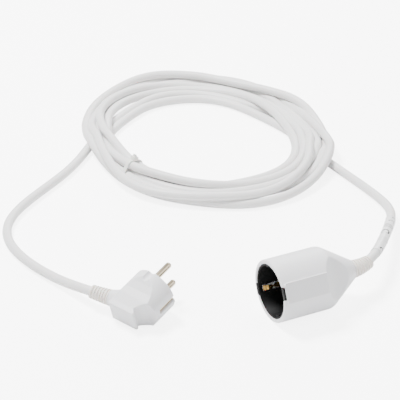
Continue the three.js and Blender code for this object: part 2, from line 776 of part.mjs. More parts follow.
function pinCarrier() {
  const radius = carrierRadius - GAP;
  let body = rod(carrierBack, -0.2, radius, FINE, upright);
  for (const side of [-1, 1]) {
    const hole = rod(carrierBack - 1, 1, PLUG_PIN_DIAMETER / 2 + GAP, COARSE, (geometry) =>
      upright(geometry).translate(0, (side * PIN_SPACING) / 2, 0),
    );
    body = body.subtract(hole);
    const groove = [side * (plugRadius - PLUG_GUIDE_DEPTH - GAP), side * plugRadius];
    groove.sort((a, b) => a - b);
    const guide = PLUG_GUIDE_WIDTH / 2;
    body = body.subtract(box([-guide, groove[0], -PLUG_GUIDE_LENGTH - 1], [guide, groove[1], 1]));
    const edge = [side * (stripInside - GAP), side * plugRadius].sort((a, b) => a - b);
    const half = PLUG_STRIP_RECESS / 2;
    body = body.subtract(box([edge[0], -half, carrierBack - 1], [edge[1], half, 1]));
  }
  return body;
}

// pin with a rounded end, a collar against the carrier and a tail for its core
const pinTail = carrierBack - GAP - 1 - 3;

function plugPin(side) {
  const radius = PLUG_PIN_DIAMETER / 2;
  const collar = carrierBack - GAP;
  const profile = [
    [pinTail, 0],
    [pinTail, radius - 0.6],
    [collar - 1, radius - 0.6],
    [collar - 1, radius + 0.7],
    [collar, radius + 0.7],
    [collar, radius],
    [PLUG_PIN_LENGTH - 1.6, radius],
    [PLUG_PIN_LENGTH - 0.5, radius - 0.8],
    [PLUG_PIN_LENGTH, radius - 1.8],
    [PLUG_PIN_LENGTH, 0],
  ];
  return turned(profile, COARSE, (geometry) =>
    upright(geometry).translate(0, (side * PIN_SPACING) / 2, 0),
  );
}

function earthBracket() {
  const half = PLUG_STRIP_WIDTH / 2;
  let body = box(
    [-stripFace, -half, bridgeFront - EARTH_BRIDGE_THICKNESS],
    [stripFace, half, bridgeFront],
  );
  for (const side of [-1, 1]) {
    const xs = [side * stripInside, side * stripFace].sort((a, b) => a - b);
    body = body.add(box([xs[0], -half, -PLUG_STRIP_LENGTH], [xs[1], half, -0.8]));
  }
  // tail for the earth core
  return body.add(box([-0.5, -2, pinTail], [0.5, 2, bridgeFront - 0.2]));
}

// insulated core from a tail to the end of the cord's jacket
function plugCore(start, angle) {
  const tilt = degrees(PLUG_CORD_TILT);
  const onNeck = (along, y, up) => [
    along * Math.cos(tilt) + up * Math.sin(tilt),
    y,
    -PLUG_NECK_DEPTH - along * Math.sin(tilt) + up * Math.cos(tilt),
  ];
  const y = CORE_CIRCLE * Math.cos(degrees(angle));
  const up = CORE_CIRCLE * Math.sin(degrees(angle));
  const top = pinTail - GAP;
  const path = smoothCurve([
    [0, start, top],
    [0, start * 0.95, top - 2],
    [0.8, start * 0.72, top - 4.4],
    onNeck(PLUG_JACKET_START - GAP - 5, y * 1.9, up * 1.6),
    onNeck(PLUG_JACKET_START - GAP - 1.5, y, up),
    onNeck(PLUG_JACKET_START - GAP, y, up),
  ]);
  return tube(path, 9, CORE_DIAMETER / 2, 0, 8);
}

plug.add(mesh("plug_housing", plugHousing(), SHELL_WHITE));
plug.add(mesh("plug_pin_carrier", pinCarrier(), SHELL_WHITE));
plug.add(mesh("plug_pin_upper", plugPin(1), NICKEL));
plug.add(mesh("plug_pin_lower", plugPin(-1), NICKEL));
plug.add(mesh("plug_earth_bracket", earthBracket(), NICKEL));
plug.add(mesh("plug_core_live", plugCore(PIN_SPACING / 2, -30), CORE_BROWN));
plug.add(mesh("plug_core_neutral", plugCore(-PIN_SPACING / 2, 210), CORE_BLUE));
plug.add(mesh("plug_core_earth", plugCore(0, 90), CORE_GREEN));

const plugClamp = cordClamp(PLUG_JACKET_START + 1, CLAMP_LENGTH, PLUG_NECK_BORE - GAP);
exit.add(mesh("plug_cord_clamp", plugClamp, COVER_GREY));
const plugExit = group(exit, [PLUG_NECK_REACH, 0, 0]);
plugExit.add(
  mesh(
    "plug_bend_sleeve",
    bendSleeve(PLUG_SLEEVE_ROOT, PLUG_NECK_BORE - GAP, PLUG_SLEEVE_TURN),
    SLEEVE_WHITE,
  ),
);
const plugJacket = jacketEnd(PLUG_JACKET_START - PLUG_NECK_REACH, PLUG_SLEEVE_TURN);
plugExit.add(mesh("cord_end_plug", plugJacket, CORD_WHITE));

// ---------------------------------------------------------------- coil
// A flat oval ring stands for the coiled turns.
const coilRadius = (COIL_OUTER[0] + COIL_OUTER[1]) / 2;
const coilHole = (COIL_INNER[0] + COIL_INNER[1]) / 2;
const coilScale = [COIL_OUTER[0] / coilRadius, COIL_OUTER[1] / coilRadius];

function coilRing(inset, facets = FINE) {
  const inner = coilHole + inset;
  const outer = coilRadius - inset;
  const low = COIL_BOTTOM + inset;
  const high = COIL_TOP - inset;
  const profile = [
    [low, inner + 4],
    [low, outer - 4],
    [low + 4, outer],
    [high - 8, outer - 0.5],
    [high - 1.5, outer - 10],
    [high, outer - 16],
    [high, inner + 9],
    [high - 3, inner + 2],
    [high - 8, inner],
    [low + 4, inner],
  ];
  return turned(profile, facets, (geometry) => {
    geometry.rotateY(-Math.PI / 2);
    geometry.scale(coilScale[0], coilScale[1], 1);
    return geometry.translate(COIL_CENTRE[0], COIL_CENTRE[1], 0);
  });
}

// block across the coil at the tie
function tieBlock(width, inner, outer, low, high) {
  const geometry = new THREE.BoxGeometry(outer - inner, width, high - low);
  geometry.translate((outer + inner) / 2, 0, (high + low) / 2);
  geometry.rotateZ(degrees(TIE_ANGLE));
  geometry.translate(COIL_CENTRE[0], COIL_CENTRE[1], 0);
  return solid(geometry);
}

const tieInset = TIE_THICKNESS + GAP + 0.1;
const tieInner = COIL_INNER[0] - 12;
const tieOuter = COIL_OUTER[0] + 12;
const grooveBlock = tieBlock(TIE_WIDTH + 2 * GAP, tieInner, tieOuter, -5, COIL_TOP + 5);
const coil = coilRing(0).subtract(grooveBlock.subtract(coilRing(tieInset)));
root.add(mesh("cord_coil", coil, CORD_WHITE));

function cableTie() {
  const band = coilRing(0).subtract(coilRing(TIE_THICKNESS));
  const loop = band.intersect(tieBlock(TIE_WIDTH, tieInner, tieOuter, -5, COIL_TOP + 5));
  const headFrom = COIL_INNER[0] + 10;
  const headTo = headFrom + TIE_HEAD[0];
  const neck = tieBlock(TIE_WIDTH - 0.4, headFrom, headTo, COIL_TOP - 0.8, COIL_TOP + 1);
  const low = COIL_TOP + GAP;
  const head = tieBlock(TIE_HEAD[1], headFrom, headTo, low, low + TIE_HEAD[2]);
  return loop.add(neck).add(head);
}

root.add(mesh("cable_tie", cableTie(), LABEL_WHITE));

// ---------------------------------------------------------------- tails of the cord
root.updateMatrixWorld(true);

// end of a bend sleeve and the direction that the cord leaves it, in the root's frame
function sleeveEnd(place, turn) {
  const radius = SLEEVE_LENGTH / degrees(turn);
  const local = new THREE.Vector3(
    radius * Math.sin(degrees(turn)),
    radius * (1 - Math.cos(degrees(turn))),
    0,
  );
  const heading = new THREE.Vector3(Math.cos(degrees(turn)), Math.sin(degrees(turn)), 0);
  return [place.localToWorld(local), heading.transformDirection(place.matrixWorld)];
}

const REST = CORD_DIAMETER / 2 + 0.2; // height of the cord's axis where it lies on the table

// hand-placed points of each tail, from its sleeve to under the coil
const COUPLER_TAIL = [
  [92.25, 42, 19],
  [114.25, 69, 13],
  [125.25, 87, 8.5],
  [129.75, 105, 5.2],
  [130.25, 121, REST + 0.1],
  [128.25, 144, REST],
  [125.75, 165, REST],
  [123.25, 186, REST],
  [121.75, 204, REST],
];
const PLUG_TAIL = [
  [-157.25, 107.5, 5],
  [-165.25, 128, REST + 0.1],
  [-171.75, 150, REST],
  [-175.25, 172, REST],
  [-174.25, 192, REST],
  [-165.75, 213, REST],
  [-148.75, 231, REST],
  [-119.75, 251, REST],
  [-91.75, 269, REST],
  [-68.75, 288, REST],
  [-51.75, 307, REST],
];

function tailCurve(place, turn, points) {
  const [end, heading] = sleeveEnd(place, turn);
  const from = end.clone().addScaledVector(heading, GAP);
  const next = end.clone().addScaledVector(heading, 6);
  return smoothCurve([from.toArray(), next.toArray(), ...points]);
}

const keepOut = coilRing(-GAP - 0.1);
const couplerCurve = tailCurve(couplerExit, COUPLER_SLEEVE_TURN, COUPLER_TAIL);
const plugCurve = tailCurve(plugExit, PLUG_SLEEVE_TURN, PLUG_TAIL);
const tail = (curve, steps) => tube(curve, steps, CORD_DIAMETER / 2).subtract(keepOut);
root.add(mesh("cord_coupler_tail", tail(couplerCurve, 18), CORD_WHITE));
root.add(mesh("cord_plug_tail", tail(plugCurve, 24), CORD_WHITE));

const labelRadius = CORD_DIAMETER / 2 + 2 * GAP;
const labelPath = new Stretch(couplerCurve, LABEL_START, LABEL_START + LABEL_LENGTH);
const labelFilm = tube(labelPath, 8, labelRadius + LABEL_THICKNESS, labelRadius);
root.add(mesh("label_wrap", labelFilm, LABEL_WHITE));

export default root;
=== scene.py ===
import math

import bmesh
import bpy
import numpy as np
from mathutils import Matrix, Vector


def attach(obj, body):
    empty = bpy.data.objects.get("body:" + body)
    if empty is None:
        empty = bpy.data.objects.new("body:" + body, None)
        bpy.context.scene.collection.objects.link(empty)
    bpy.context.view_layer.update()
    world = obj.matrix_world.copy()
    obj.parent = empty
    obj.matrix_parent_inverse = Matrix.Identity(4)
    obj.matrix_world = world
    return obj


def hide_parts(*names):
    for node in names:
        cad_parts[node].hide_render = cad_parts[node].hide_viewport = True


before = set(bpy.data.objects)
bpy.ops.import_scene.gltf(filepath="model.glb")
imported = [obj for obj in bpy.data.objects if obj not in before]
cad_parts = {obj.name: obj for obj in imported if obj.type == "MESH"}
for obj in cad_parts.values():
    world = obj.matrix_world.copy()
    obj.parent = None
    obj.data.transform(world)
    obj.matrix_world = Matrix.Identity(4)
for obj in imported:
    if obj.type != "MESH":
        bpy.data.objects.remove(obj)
MM = 0.001


def note_size():
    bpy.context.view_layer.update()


note_size()

# ------------------------------------------------------------------ sizes shared with the CAD, mm
CORD_R = 3.8
BARREL_R = 24.5
MOUTH_X = -35.25
NECK_X = 35.25
BARREL_END_X = 9.75
NECK_R = 7.7
BORE_R = 21.6
RECESS_R = 20.0
RECESS_DEPTH = 17.5
PAD_FACE = 25.4
PAD_HALF = 8.25
COUPLER_ROLL = 25.0
SLEEVE_LENGTH = 17.5
SLEEVE_TIP_R = 5.4
COUPLER_SLEEVE_ROOT_R = 7.3
COUPLER_SLEEVE_TURN = 24.0
PLUG_SLEEVE_ROOT_R = 6.45
PLUG_SLEEVE_TURN = 6.0
PIN_SPACING = 19.0
PIN_LENGTH = 19.0
PIN_R = 2.4
RIM_NOTCH_DEPTH = 1.6
RIM_TAB_R = 24.1
FLOOR_X = MOUTH_X + RECESS_DEPTH
FLOOR_BACK_X = FLOOR_X + 3
PLUG_R = 18.4
PLUG_DEPTH = 35.5
PLUG_NECK_DEPTH = 21.0
PLUG_NECK_REACH = 24.3
PLUG_CORD_TILT = 10.7
PLUG_FACE = (-106.25, 49.0, 19.5)
PLUG_TURN = (23.3, 73.5, 91.3)  # heading, lean from upright and roll of the pins


def turn(angle, axis):
    return Matrix.Rotation(math.radians(angle), 4, axis)


def shift(x, y, z):
    return Matrix.Translation((x, y, z))


# local frames of the fittings, as matrices into the part's frame, in millimetres
COUPLER = shift(0, 0, BARREL_R) @ turn(-COUPLER_ROLL, "X")
COUPLER_EXIT = shift(NECK_X, 0, BARREL_R)
PLUG = (
    shift(*PLUG_FACE) @ turn(PLUG_TURN[0], "Z") @ turn(PLUG_TURN[1], "Y") @ turn(PLUG_TURN[2], "Z")
)
PLUG_NECK = PLUG @ shift(0, 0, -PLUG_NECK_DEPTH) @ turn(PLUG_CORD_TILT, "Y")
PLUG_EXIT = PLUG_NECK @ shift(PLUG_NECK_REACH, 0, 0)

# ------------------------------------------------------------------ camera
camera_data = bpy.data.cameras.new("camera")
camera_data.sensor_width = 36.0
camera_data.lens = 159.84
camera_data.clip_end = 20
camera = bpy.data.objects.new("camera", camera_data)
bpy.context.scene.collection.objects.link(camera)
CAMERA_PLACE = Vector((-0.57485, -0.9793, 0.7505))
CAMERA_AIM = Vector((-0.00315, 0.18405, 0.0))
camera.location = CAMERA_PLACE
camera.rotation_euler = (CAMERA_AIM - CAMERA_PLACE).to_track_quat("-Z", "Y").to_euler()
bpy.context.scene.camera = camera


# ------------------------------------------------------------------ materials
def linear(hex_colour):
    """sRGB hex to linear RGBA."""
    channels = [int(hex_colour[i : i + 2], 16) / 255 for i in (0, 2, 4)]
    out = [c / 12.92 if c <= 0.04045 else ((c + 0.055) / 1.055) ** 2.4 for c in channels]
    return (*out, 1.0)


def add_node(tree, kind, **inputs):
    node = tree.nodes.new(kind)
    for name, value in inputs.items():
        node.inputs[name.replace("_", " ")].default_value = value
    return node


def moulded(name, colour, roughness, grain_mm, bump, metal=0.0, subsurface=0.0, stretch=(1, 1, 1)):
    """Principled surface with a fine grain in object space; grain_mm is the grain's size."""
    material = bpy.data.materials.new(name)
    material.use_nodes = True
    tree = material.node_tree
    shader = tree.nodes["Principled BSDF"]
    shader.inputs["Base Color"].default_value = linear(colour)
    shader.inputs["Roughness"].default_value = roughness
    shader.inputs["Metallic"].default_value = metal
    shader.inputs["Subsurface Weight"].default_value = subsurface
    shader.inputs["Subsurface Scale"].default_value = 0.002
    where = add_node(tree, "ShaderNodeTexCoord")
    spread = add_node(tree, "ShaderNodeMapping", Scale=stretch)
    grain = add_node(tree, "ShaderNodeTexNoise", Scale=1 / (grain_mm * MM), Detail=3.0)
    rise = add_node(tree, "ShaderNodeBump", Strength=bump, Distance=0.0001)
    vary = add_node(tree, "ShaderNodeMapRange", To_Min=roughness - 0.05, To_Max=roughness + 0.05)
    tree.links.new(where.outputs["Object"], spread.inputs["Vector"])
    tree.links.new(spread.outputs["Vector"], grain.inputs["Vector"])
    tree.links.new(grain.outputs["Fac"], rise.inputs["Height"])
    tree.links.new(grain.outputs["Fac"], vary.inputs["Value"])
    tree.links.new(vary.outputs["Result"], shader.inputs["Roughness"])
    tree.links.new(rise.outputs["Normal"], shader.inputs["Normal"])
    return material


# injection-moulded ABS, cool white, fine spark-eroded tool finish
SHELL = moulded("abs_shell_moulded", "eeeef0", 0.40, 0.45, 0.10, subsurface=0.05)
# over-moulded soft PVC, slightly warm
SLEEVE = moulded("pvc_sleeve_overmoulded", "f1ece5", 0.50, 0.5, 0.12, subsurface=0.08)
# extruded PVC jacket, smooth, with a slow ripple along it
JACKET = moulded("pvc_jacket_extruded", "eae9e8", 0.42, 1.2, 0.06, subsurface=0.06)
# glass-filled PA6 contact carrier, near black: black plastic darkened further as painted shade for the
# deep cup, matt, with hardly any sheen
INSERT_BLACK_AND_SHADE = moulded("pa6_insert_black_painted_shade", "060606", 0.55, 0.6, 0.15)
INSERT_BLACK_AND_SHADE.node_tree.nodes["Principled BSDF"].inputs["Specular IOR Level"].default_value = 0.2
# injection-moulded PA6, mid grey and even: the cover and clamps behind the contacts
COVER = moulded("pa6_cover_grey", "55585c", 0.5, 0.6, 0.15)
# turned brass pins with nickel plate, bright, with fine marks round them
NICKEL = moulded("nickel_plate_turned", "cdbfa6", 0.22, 0.3, 0.05, metal=1.0, stretch=(1, 1, 6))
# stamped CuZn37 strip, yellow and bright
BRASS = moulded("brass_strip_stamped", "c9a15a", 0.28, 0.25, 0.08, metal=1.0)
# injection-moulded PA66 cable tie, milky and a little translucent
NYLON = moulded("pa66_tie_natural", "f0efe9", 0.38, 0.8, 0.05, subsurface=0.15)
# extruded PVC core insulation in its three wiring colours
CORE_BROWN = moulded("pvc_core_brown", "6b3d22", 0.35, 0.8, 0.04)
CORE_BLUE = moulded("pvc_core_blue", "2a5fa8", 0.35, 0.8, 0.04)
CORE_GREEN = moulded("pvc_core_green_yellow", "6d9a2b", 0.35, 0.8, 0.04)


# ------------------------------------------------------------------ mesh helpers
def finish_mesh(name, mesh, material, matrix=None, sharp=35.0):
    """Object at the origin from a mesh in mm, put in place, shaded smooth with sharp creases."""
    if matrix is not None:
        mesh.transform(matrix)
    mesh.transform(Matrix.Scale(MM, 4))
    work = bmesh.new()
    work.from_mesh(mesh)
    bmesh.ops.remove_doubles(work, verts=work.verts, dist=1e-7)
    bmesh.ops.recalc_face_normals(work, faces=work.faces)
    for face in work.faces:
        face.smooth = True
    limit = math.radians(sharp)
    for edge in work.edges:
        if len(edge.link_faces) == 2:
            edge.smooth = edge.calc_face_angle() < limit
    work.to_mesh(mesh)
    work.free()
    mesh.materials.clear()
    mesh.materials.append(material)
    obj = bpy.data.objects.new(name, mesh)
    bpy.context.scene.collection.objects.link(obj)
    return obj


def raw_mesh(name, points, faces):
    mesh = bpy.data.meshes.new(name)
    mesh.from_pydata([tuple(p) for p in points], [], [tuple(f) for f in faces])
    return mesh


def ring_mesh(name, rows, closed_rows=True):
    """Mesh through rows of points, each a closed ring with the same count."""
    rows = np.asarray(rows, float)
    count, around = rows.shape[:2]
    faces = []
    last = count if closed_rows else count - 1
    for i in range(last):
        k = (i + 1) % count
        for j in range(around):
            n = (j + 1) % around
            faces.append((i * around + j, i * around + n, k * around + n, k * around + j))
    if not closed_rows:
        faces.append(tuple(range(around))[::-1])
        faces.append(tuple((count - 1) * around + j for j in range(around)))
    return raw_mesh(name, rows.reshape(-1, 3), faces)


def turned(name, profile, around=96, wrap=None, closed=True):
    """Revolved about X from [x, radius] points; wrap moves the finished points."""
    rows = []
    for x, radius in profile:
        angles = np.linspace(0, 2 * math.pi, around, endpoint=False)
        ring = np.stack([np.full(around, x), radius * np.cos(angles), radius * np.sin(angles)], 1)
        rows.append(ring)
    rows = np.array(rows)
    if wrap is not None:
        rows = wrap(rows.reshape(-1, 3)).reshape(rows.shape)
    return ring_mesh(name, rows, closed)


def rounded(points, radius, steps=5):
    """Open chain of 2-D points with its inner corners rounded."""
    points = [Vector(p) for p in points]
    out = [points[0]]
    for before, corner, after in zip(points, points[1:], points[2:]):
        to_before = (before - corner).normalized()
        to_after = (after - corner).normalized()
        reach = min(radius, 0.45 * (before - corner).length, 0.45 * (after - corner).length)
        start, end = corner + to_before * reach, corner + to_after * reach
        for i in range(steps + 1):
            t = i / steps
            out.append(start * (1 - t) ** 2 + corner * 2 * t * (1 - t) + end * t**2)
    out.append(points[-1])
    return [tuple(p) for p in out]


def box_mesh(name, low, high, bevel=0.0):
    work = bmesh.new()
    bmesh.ops.create_cube(work, size=1.0)
    low, high = Vector(low), Vector(high)
    size, middle = high - low, (high + low) / 2
    for vert in work.verts:
        vert.co = Vector(vert.co[i] * size[i] + middle[i] for i in range(3))
    if bevel:
        bmesh.ops.bevel(
            work, geom=work.edges[:], offset=bevel, segments=3, profile=0.5, affect="EDGES"
        )
    mesh = bpy.data.meshes.new(name)
    work.to_mesh(mesh)
    work.free()
    return mesh


def slab_mesh(name, outline, low, high):
    """Flat outline of [u, v] points, pushed along the third axis."""
    count = len(outline)
    points = [(u, v, low) for u, v in outline] + [(u, v, high) for u, v in outline]
    faces = [tuple(range(count))[::-1], tuple(range(count, 2 * count))]
    faces += [(i, (i + 1) % count, count + (i + 1) % count, count + i) for i in range(count)]
    return raw_mesh(name, points, faces)


def temporary(mesh, matrix=None):
    """Working object for booleans, with its normals outwards."""
    if matrix is not None:
        mesh.transform(matrix)
    work = bmesh.new()
    work.from_mesh(mesh)
    bmesh.ops.remove_doubles(work, verts=work.verts, dist=1e-5)
    bmesh.ops.recalc_face_normals(work, faces=work.faces)
    work.to_mesh(mesh)
    work.free()
    obj = bpy.data.objects.new(mesh.name, mesh)
    bpy.context.scene.collection.objects.link(obj)
    return obj


def baked(obj):
    """Plain mesh of an object with its modifiers; the object is removed."""
    bpy.context.view_layer.update()
    graph = bpy.context.evaluated_depsgraph_get()
    mesh = bpy.data.meshes.new_from_object(obj.evaluated_get(graph))
    bpy.data.objects.remove(obj)
    return mesh


def combined(base, steps):
    """base mesh after booleans; steps are (operation, mesh) pairs."""
    obj = temporary(base)
    helpers = []
    for operation, mesh in steps:
        helper = temporary(mesh)
        helpers.append(helper)
        modifier = obj.modifiers.new("step", "BOOLEAN")
        modifier.operation = operation
        modifier.solver = "EXACT"
        modifier.object = helper
    mesh = baked(obj)
    for helper in helpers:
        bpy.data.objects.remove(helper)
    return mesh


def softened(mesh, voxel, rounds):
    """The solid with its edges rounded as a mould leaves them."""
    obj = temporary(mesh)
    remesh = obj.modifiers.new("remesh", "REMESH")
    remesh.mode = "VOXEL"
    remesh.voxel_size = voxel
    remesh.use_smooth_shade = True
    smooth = obj.modifiers.new("smooth", "SMOOTH")
    smooth.factor = 0.5
    smooth.iterations = rounds
    return baked(obj)


def place(obj, body, slot, *nodes):
    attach(obj, body)
    if nodes:
        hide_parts(*nodes)
    return obj


# ------------------------------------------------------------------ the cord's route, mm
def spline(points, spacing):
    """Points about spacing apart on a centripetal Catmull-Rom curve through the given ones."""
    points = np.asarray(points, float)
    points = np.vstack([2 * points[0] - points[1], points, 2 * points[-1] - points[-2]])
    out = []
    for p0, p1, p2, p3 in zip(points, points[1:], points[2:], points[3:]):
        t1 = max(np.linalg.norm(p1 - p0), 1e-9) ** 0.5
        t2 = t1 + max(np.linalg.norm(p2 - p1), 1e-9) ** 0.5
        t3 = t2 + max(np.linalg.norm(p3 - p2), 1e-9) ** 0.5
        for t in np.linspace(t1, t2, 12, endpoint=False):
            a1 = (t1 - t) / t1 * p0 + t / t1 * p1
            a2 = (t2 - t) / (t2 - t1) * p1 + (t - t1) / (t2 - t1) * p2
            a3 = (t3 - t) / (t3 - t2) * p2 + (t - t2) / (t3 - t2) * p3
            b1 = (t2 - t) / t2 * a1 + t / t2 * a2
            b2 = (t3 - t) / (t3 - t1) * a2 + (t - t1) / (t3 - t1) * a3
            out.append((t2 - t) / (t2 - t1) * b1 + (t - t1) / (t2 - t1) * b2)
    out = np.array(out + [points[-2]])
    return evenly(out, spacing)


def evenly(line, spacing):
    """Points about spacing apart along a line, with their other columns carried along."""
    along = np.concatenate([[0], np.cumsum(np.linalg.norm(np.diff(line[:, :3], axis=0), axis=1))])
    at = np.linspace(0, along[-1], max(2, round(along[-1] / spacing) + 1))
    return np.stack([np.interp(at, along, line[:, k]) for k in range(line.shape[1])], 1)


def bent(points, length, angle):
    """Points along +X from x = 0 bent as a whole towards +Y."""
    points = np.array(points, float)
    radius = length / math.radians(angle)
    along, before = np.maximum(points[:, 0], 0), np.minimum(points[:, 0], 0)
    reach = radius - points[:, 1]
    x = before + reach * np.sin(along / radius)
    y = radius - reach * np.cos(along / radius)
    return np.stack([x, y, points[:, 2]], 1)


def moved(matrix, points):
    return np.array([matrix @ Vector(p) for p in points])


def through_sleeve(place_matrix, angle, inside):
    """Axis of the cord from inside the housing to the end of its bend sleeve."""
    xs = np.linspace(-inside, SLEEVE_LENGTH, 9)
    line = np.stack([xs, 0 * xs, 0 * xs], 1)
    return moved(place_matrix, bent(line, SLEEVE_LENGTH, angle))


REST = CORD_R + 0.2
PLUG_TAIL = [
    (-157.25, 107.5, 5),
    (-165.25, 128, REST + 0.1),
    (-171.75, 150, REST),
    (-175.25, 172, REST),
    (-174.25, 192, REST),
    (-165.75, 213, REST),
    (-148.75, 231, REST),
    (-119.75, 251, REST),
    (-91.75, 269, REST),
    (-68.75, 288, REST),
    (-51.75, 307, REST),
    (-29.75, 328, REST),
    (-11.75, 341, REST),
]
COUPLER_TAIL = [
    (92.25, 42, 19),
    (114.25, 69, 13),
    (125.25, 87, 8.5),
    (129.75, 105, 5.2),
    (130.25, 121, REST + 0.1),
    (128.25, 144, REST),
    (125.75, 165, REST),
    (123.25, 186, REST),
    (121.75, 204, REST),
    (120.75, 229, REST),
    (121.05, 250, REST),
]
COIL_CENTRE = (43.25, 270.0)
# reach of the coil's outside and hole every 30 degrees from +X, anticlockwise
COIL_OUTSIDE = (111, 121, 131, 135, 128, 107, 101, 111, 115, 128, 126, 115)
COIL_HOLE = (75, 75, 81, 85, 84, 84, 77, 76, 83, 77, 83, 81)
# each turn runs clockwise: for every 45 degrees, how far out it lies from 0 (hole) to 1 (outside)
# and its order in the pile. The first turn starts at the back and the last ends at the right.
TURNS = [
    # back, back right, right, front right, front, front left, left, back left
    [(0.28, 0), (0.13, 1), (0.22, 3), (0.28, 4), (0.15, 6), (0.02, 7), (0.48, 7), (0.36, 3)],
    [(0.52, 2), (0.22, 3), (-0.02, 5), (0.02, 4), (0.12, 4), (0.22, 4), (0.22, 5), (0.56, 6)],
    [(0.62, 4), (0.50, 2), (0.45, 3), (0.50, 4), (0.80, 6), (0.98, 6), (0.90, 6), (0.66, 3)],
    [(0.88, 2), (1.00, 2), (0.62, 6), (0.84, 6), (0.94, 4), (0.78, 3), (0.76, 3), (0.90, 5)],
    [(0.95, 6), (0.62, 7), (0.96, 4), (0.84, 2), (0.55, 2), (0.50, 2), (0.50, 2), (0.34, 2)],
    [(0.70, 1), (0.75, 1), (0.60, 1), (0.50, 1), (0.40, 1), (0.30, 1), (0.38, 1), (0.20, 1)],
    [(0.00, 1), (0.00, 1)],
]


def eased(a, b, c, d, t):
    """Value at share t of the way from b to c, on a smooth curve that a and d steer."""
    return b + 0.5 * t * (c - a + t * (2 * a - 5 * b + 4 * c - d + t * (3 * (b - c) + d - a)))


def cyclic(values, angle):
    """Smooth value at an angle in degrees from evenly spread ones."""
    step = 360 / len(values)
    place_at = (angle % 360) / step
    i, t = int(place_at), place_at - int(place_at)
    a, b, c, d = (values[(i + k) % len(values)] for k in (-1, 0, 1, 2))
    return eased(a, b, c, d, t)


def coil_plan():
    """Plan of the coil as [x, y, order] points every 9 degrees."""
    stations = [station for one_turn in TURNS for station in one_turn]
    plan = []
    for i in range(len(stations) - 1):
        a, b = stations[max(i - 1, 0)], stations[i]
        c, d = stations[i + 1], stations[min(i + 2, len(stations) - 1)]
        for step in range(5):
            t = step / 5
            out, pile = (eased(a[k], b[k], c[k], d[k], t) for k in (0, 1))
            angle = 90 - 45 * (i + t)
            inner = cyclic(COIL_HOLE, angle) + CORD_R
            outer = cyclic(COIL_OUTSIDE, angle) - CORD_R
            reach = inner + out * (outer - inner)
            x = COIL_CENTRE[0] + reach * math.cos(math.radians(angle))
            y = COIL_CENTRE[1] + reach * math.sin(math.radians(angle))
            plan.append((x, y, max(pile, 0)))
    return plan


# settling: steps that sink, steps that only ease the bends, and the drop of each sinking step
SINK_STEPS = 330
REST_STEPS = 60
SINK = 0.34


def settled(line, order, loose):
    """Lets the coil's turns drop onto the table and onto each other.

    line is the plan, order its place in the pile and loose is 1 where the cord may move. Every
    step the cord sinks a little, keeps its bends smooth and is pushed out of itself."""
    here = line.copy()
    here[:, 2] += order * 2 * CORD_R * loose
    count = len(here)
    index = np.arange(count)
    width = 2 * CORD_R
    pairs = np.zeros((0, 2), int)

    def near_pairs():
        apart = here[:, None, :] - here[None, :, :]
        near = (apart**2).sum(2) < (width + 3.5) ** 2
        near &= np.abs(index[:, None] - index[None, :]) > 5
        found = np.argwhere(np.triu(near))
        return found[loose[found].sum(1) > 0]

    def push_apart(rounds):
        a, b = pairs[:, 0], pairs[:, 1]
        share = loose[a] / (loose[a] + loose[b])
        for _ in range(rounds):
            gap = here[a] - here[b]
            far = np.maximum(np.linalg.norm(gap, axis=1), 1e-6)
            push = gap / far[:, None] * np.maximum(width - far, 0)[:, None]
            total = np.zeros_like(here)
            hits = np.zeros(count)
            np.add.at(total, a, push * share[:, None])
            np.add.at(total, b, -push * (1 - share)[:, None])
            np.add.at(hits, a, far < width)
            np.add.at(hits, b, far < width)
            here[:] += total / np.maximum(hits, 1)[:, None] * 1.3
            here[:, 2] = np.maximum(here[:, 2], np.minimum(line[:, 2], REST))

    for step in range(SINK_STEPS + REST_STEPS):
        if step % 6 == 0:
            pairs = near_pairs()
        sink = SINK if step < SINK_STEPS else 0.0
        here[:, 2] -= sink * loose
        away = (here - line) * loose[:, None]
        for _ in range(2):
            middle = 0.5 * (np.roll(away, 1, 0) + np.roll(away, -1, 0))
            away[1:-1] += 0.45 * (middle - away)[1:-1]
        away[:, :2] *= 0.97
        here = line + away
        if step > SINK_STEPS:
            middle = 0.5 * (np.roll(here, 1, 0) + np.roll(here, -1, 0))
            here[1:-1] += (0.15 * (middle - here) * loose[:, None])[1:-1]
        push_apart(5)
    return here


def cord_route():
    start = through_sleeve(PLUG_EXIT, PLUG_SLEEVE_TURN, 6)
    end = through_sleeve(COUPLER_EXIT, COUPLER_SLEEVE_TURN, 6)[::-1]
    plan = coil_plan()
    points = [(*p, 0, 0) for p in start]
    points.append((*(start[-1] + 2 * (start[-1] - start[-2])), 0, 0))
    points += [(*p, 0, 0) for p in PLUG_TAIL[:-2]]
    points += [(*p, 0, 0.4) for p in PLUG_TAIL[-2:]]
    points += [(x, y, REST, order, 1) for x, y, order in plan]
    points += [(*p, 0, 0.3) for p in COUPLER_TAIL[:-3:-1]]
    points += [(*p, 0, 0) for p in COUPLER_TAIL[-3::-1]]
    points.append((*(end[0] + 2 * (end[0] - end[1])), 0, 0))
    points += [(*p, 0, 0) for p in end]
    route = spline(points, 6.0)
    for _ in range(12):
        middle = 0.5 * (route[:-2, :3] + route[2:, :3])
        route[4:-4, :3] += 0.5 * (middle[3:-3] - route[4:-4, :3])
    order = np.maximum(route[:, 3], 0)
    loose = np.clip(route[:, 4], 0, 1)
    return settled(route[:, :3], order, loose)


ROUTE = cord_route()
ROUTE_FINE = spline(ROUTE, 3.0)

curve = bpy.data.curves.new("cord", "CURVE")
curve.dimensions = "3D"
curve.bevel_depth = CORD_R * MM
curve.bevel_resolution = 5
curve.use_fill_caps = True
line = curve.splines.new("POLY")
line.points.add(len(ROUTE_FINE) - 1)
for point, (x, y, z) in zip(line.points, ROUTE_FINE * MM):
    point.co = (x, y, z, 1)
line.use_smooth = True
curve.materials.append(JACKET)
cord = bpy.data.objects.new("cord", curve)
bpy.context.scene.collection.objects.link(cord)
place(
    cord,
    "lead",
    "cord_white",
    "cord_end_coupler",
    "cord_coupler_tail",
    "cord_coil",
    "cord_plug_tail",
    "cord_end_plug",
)

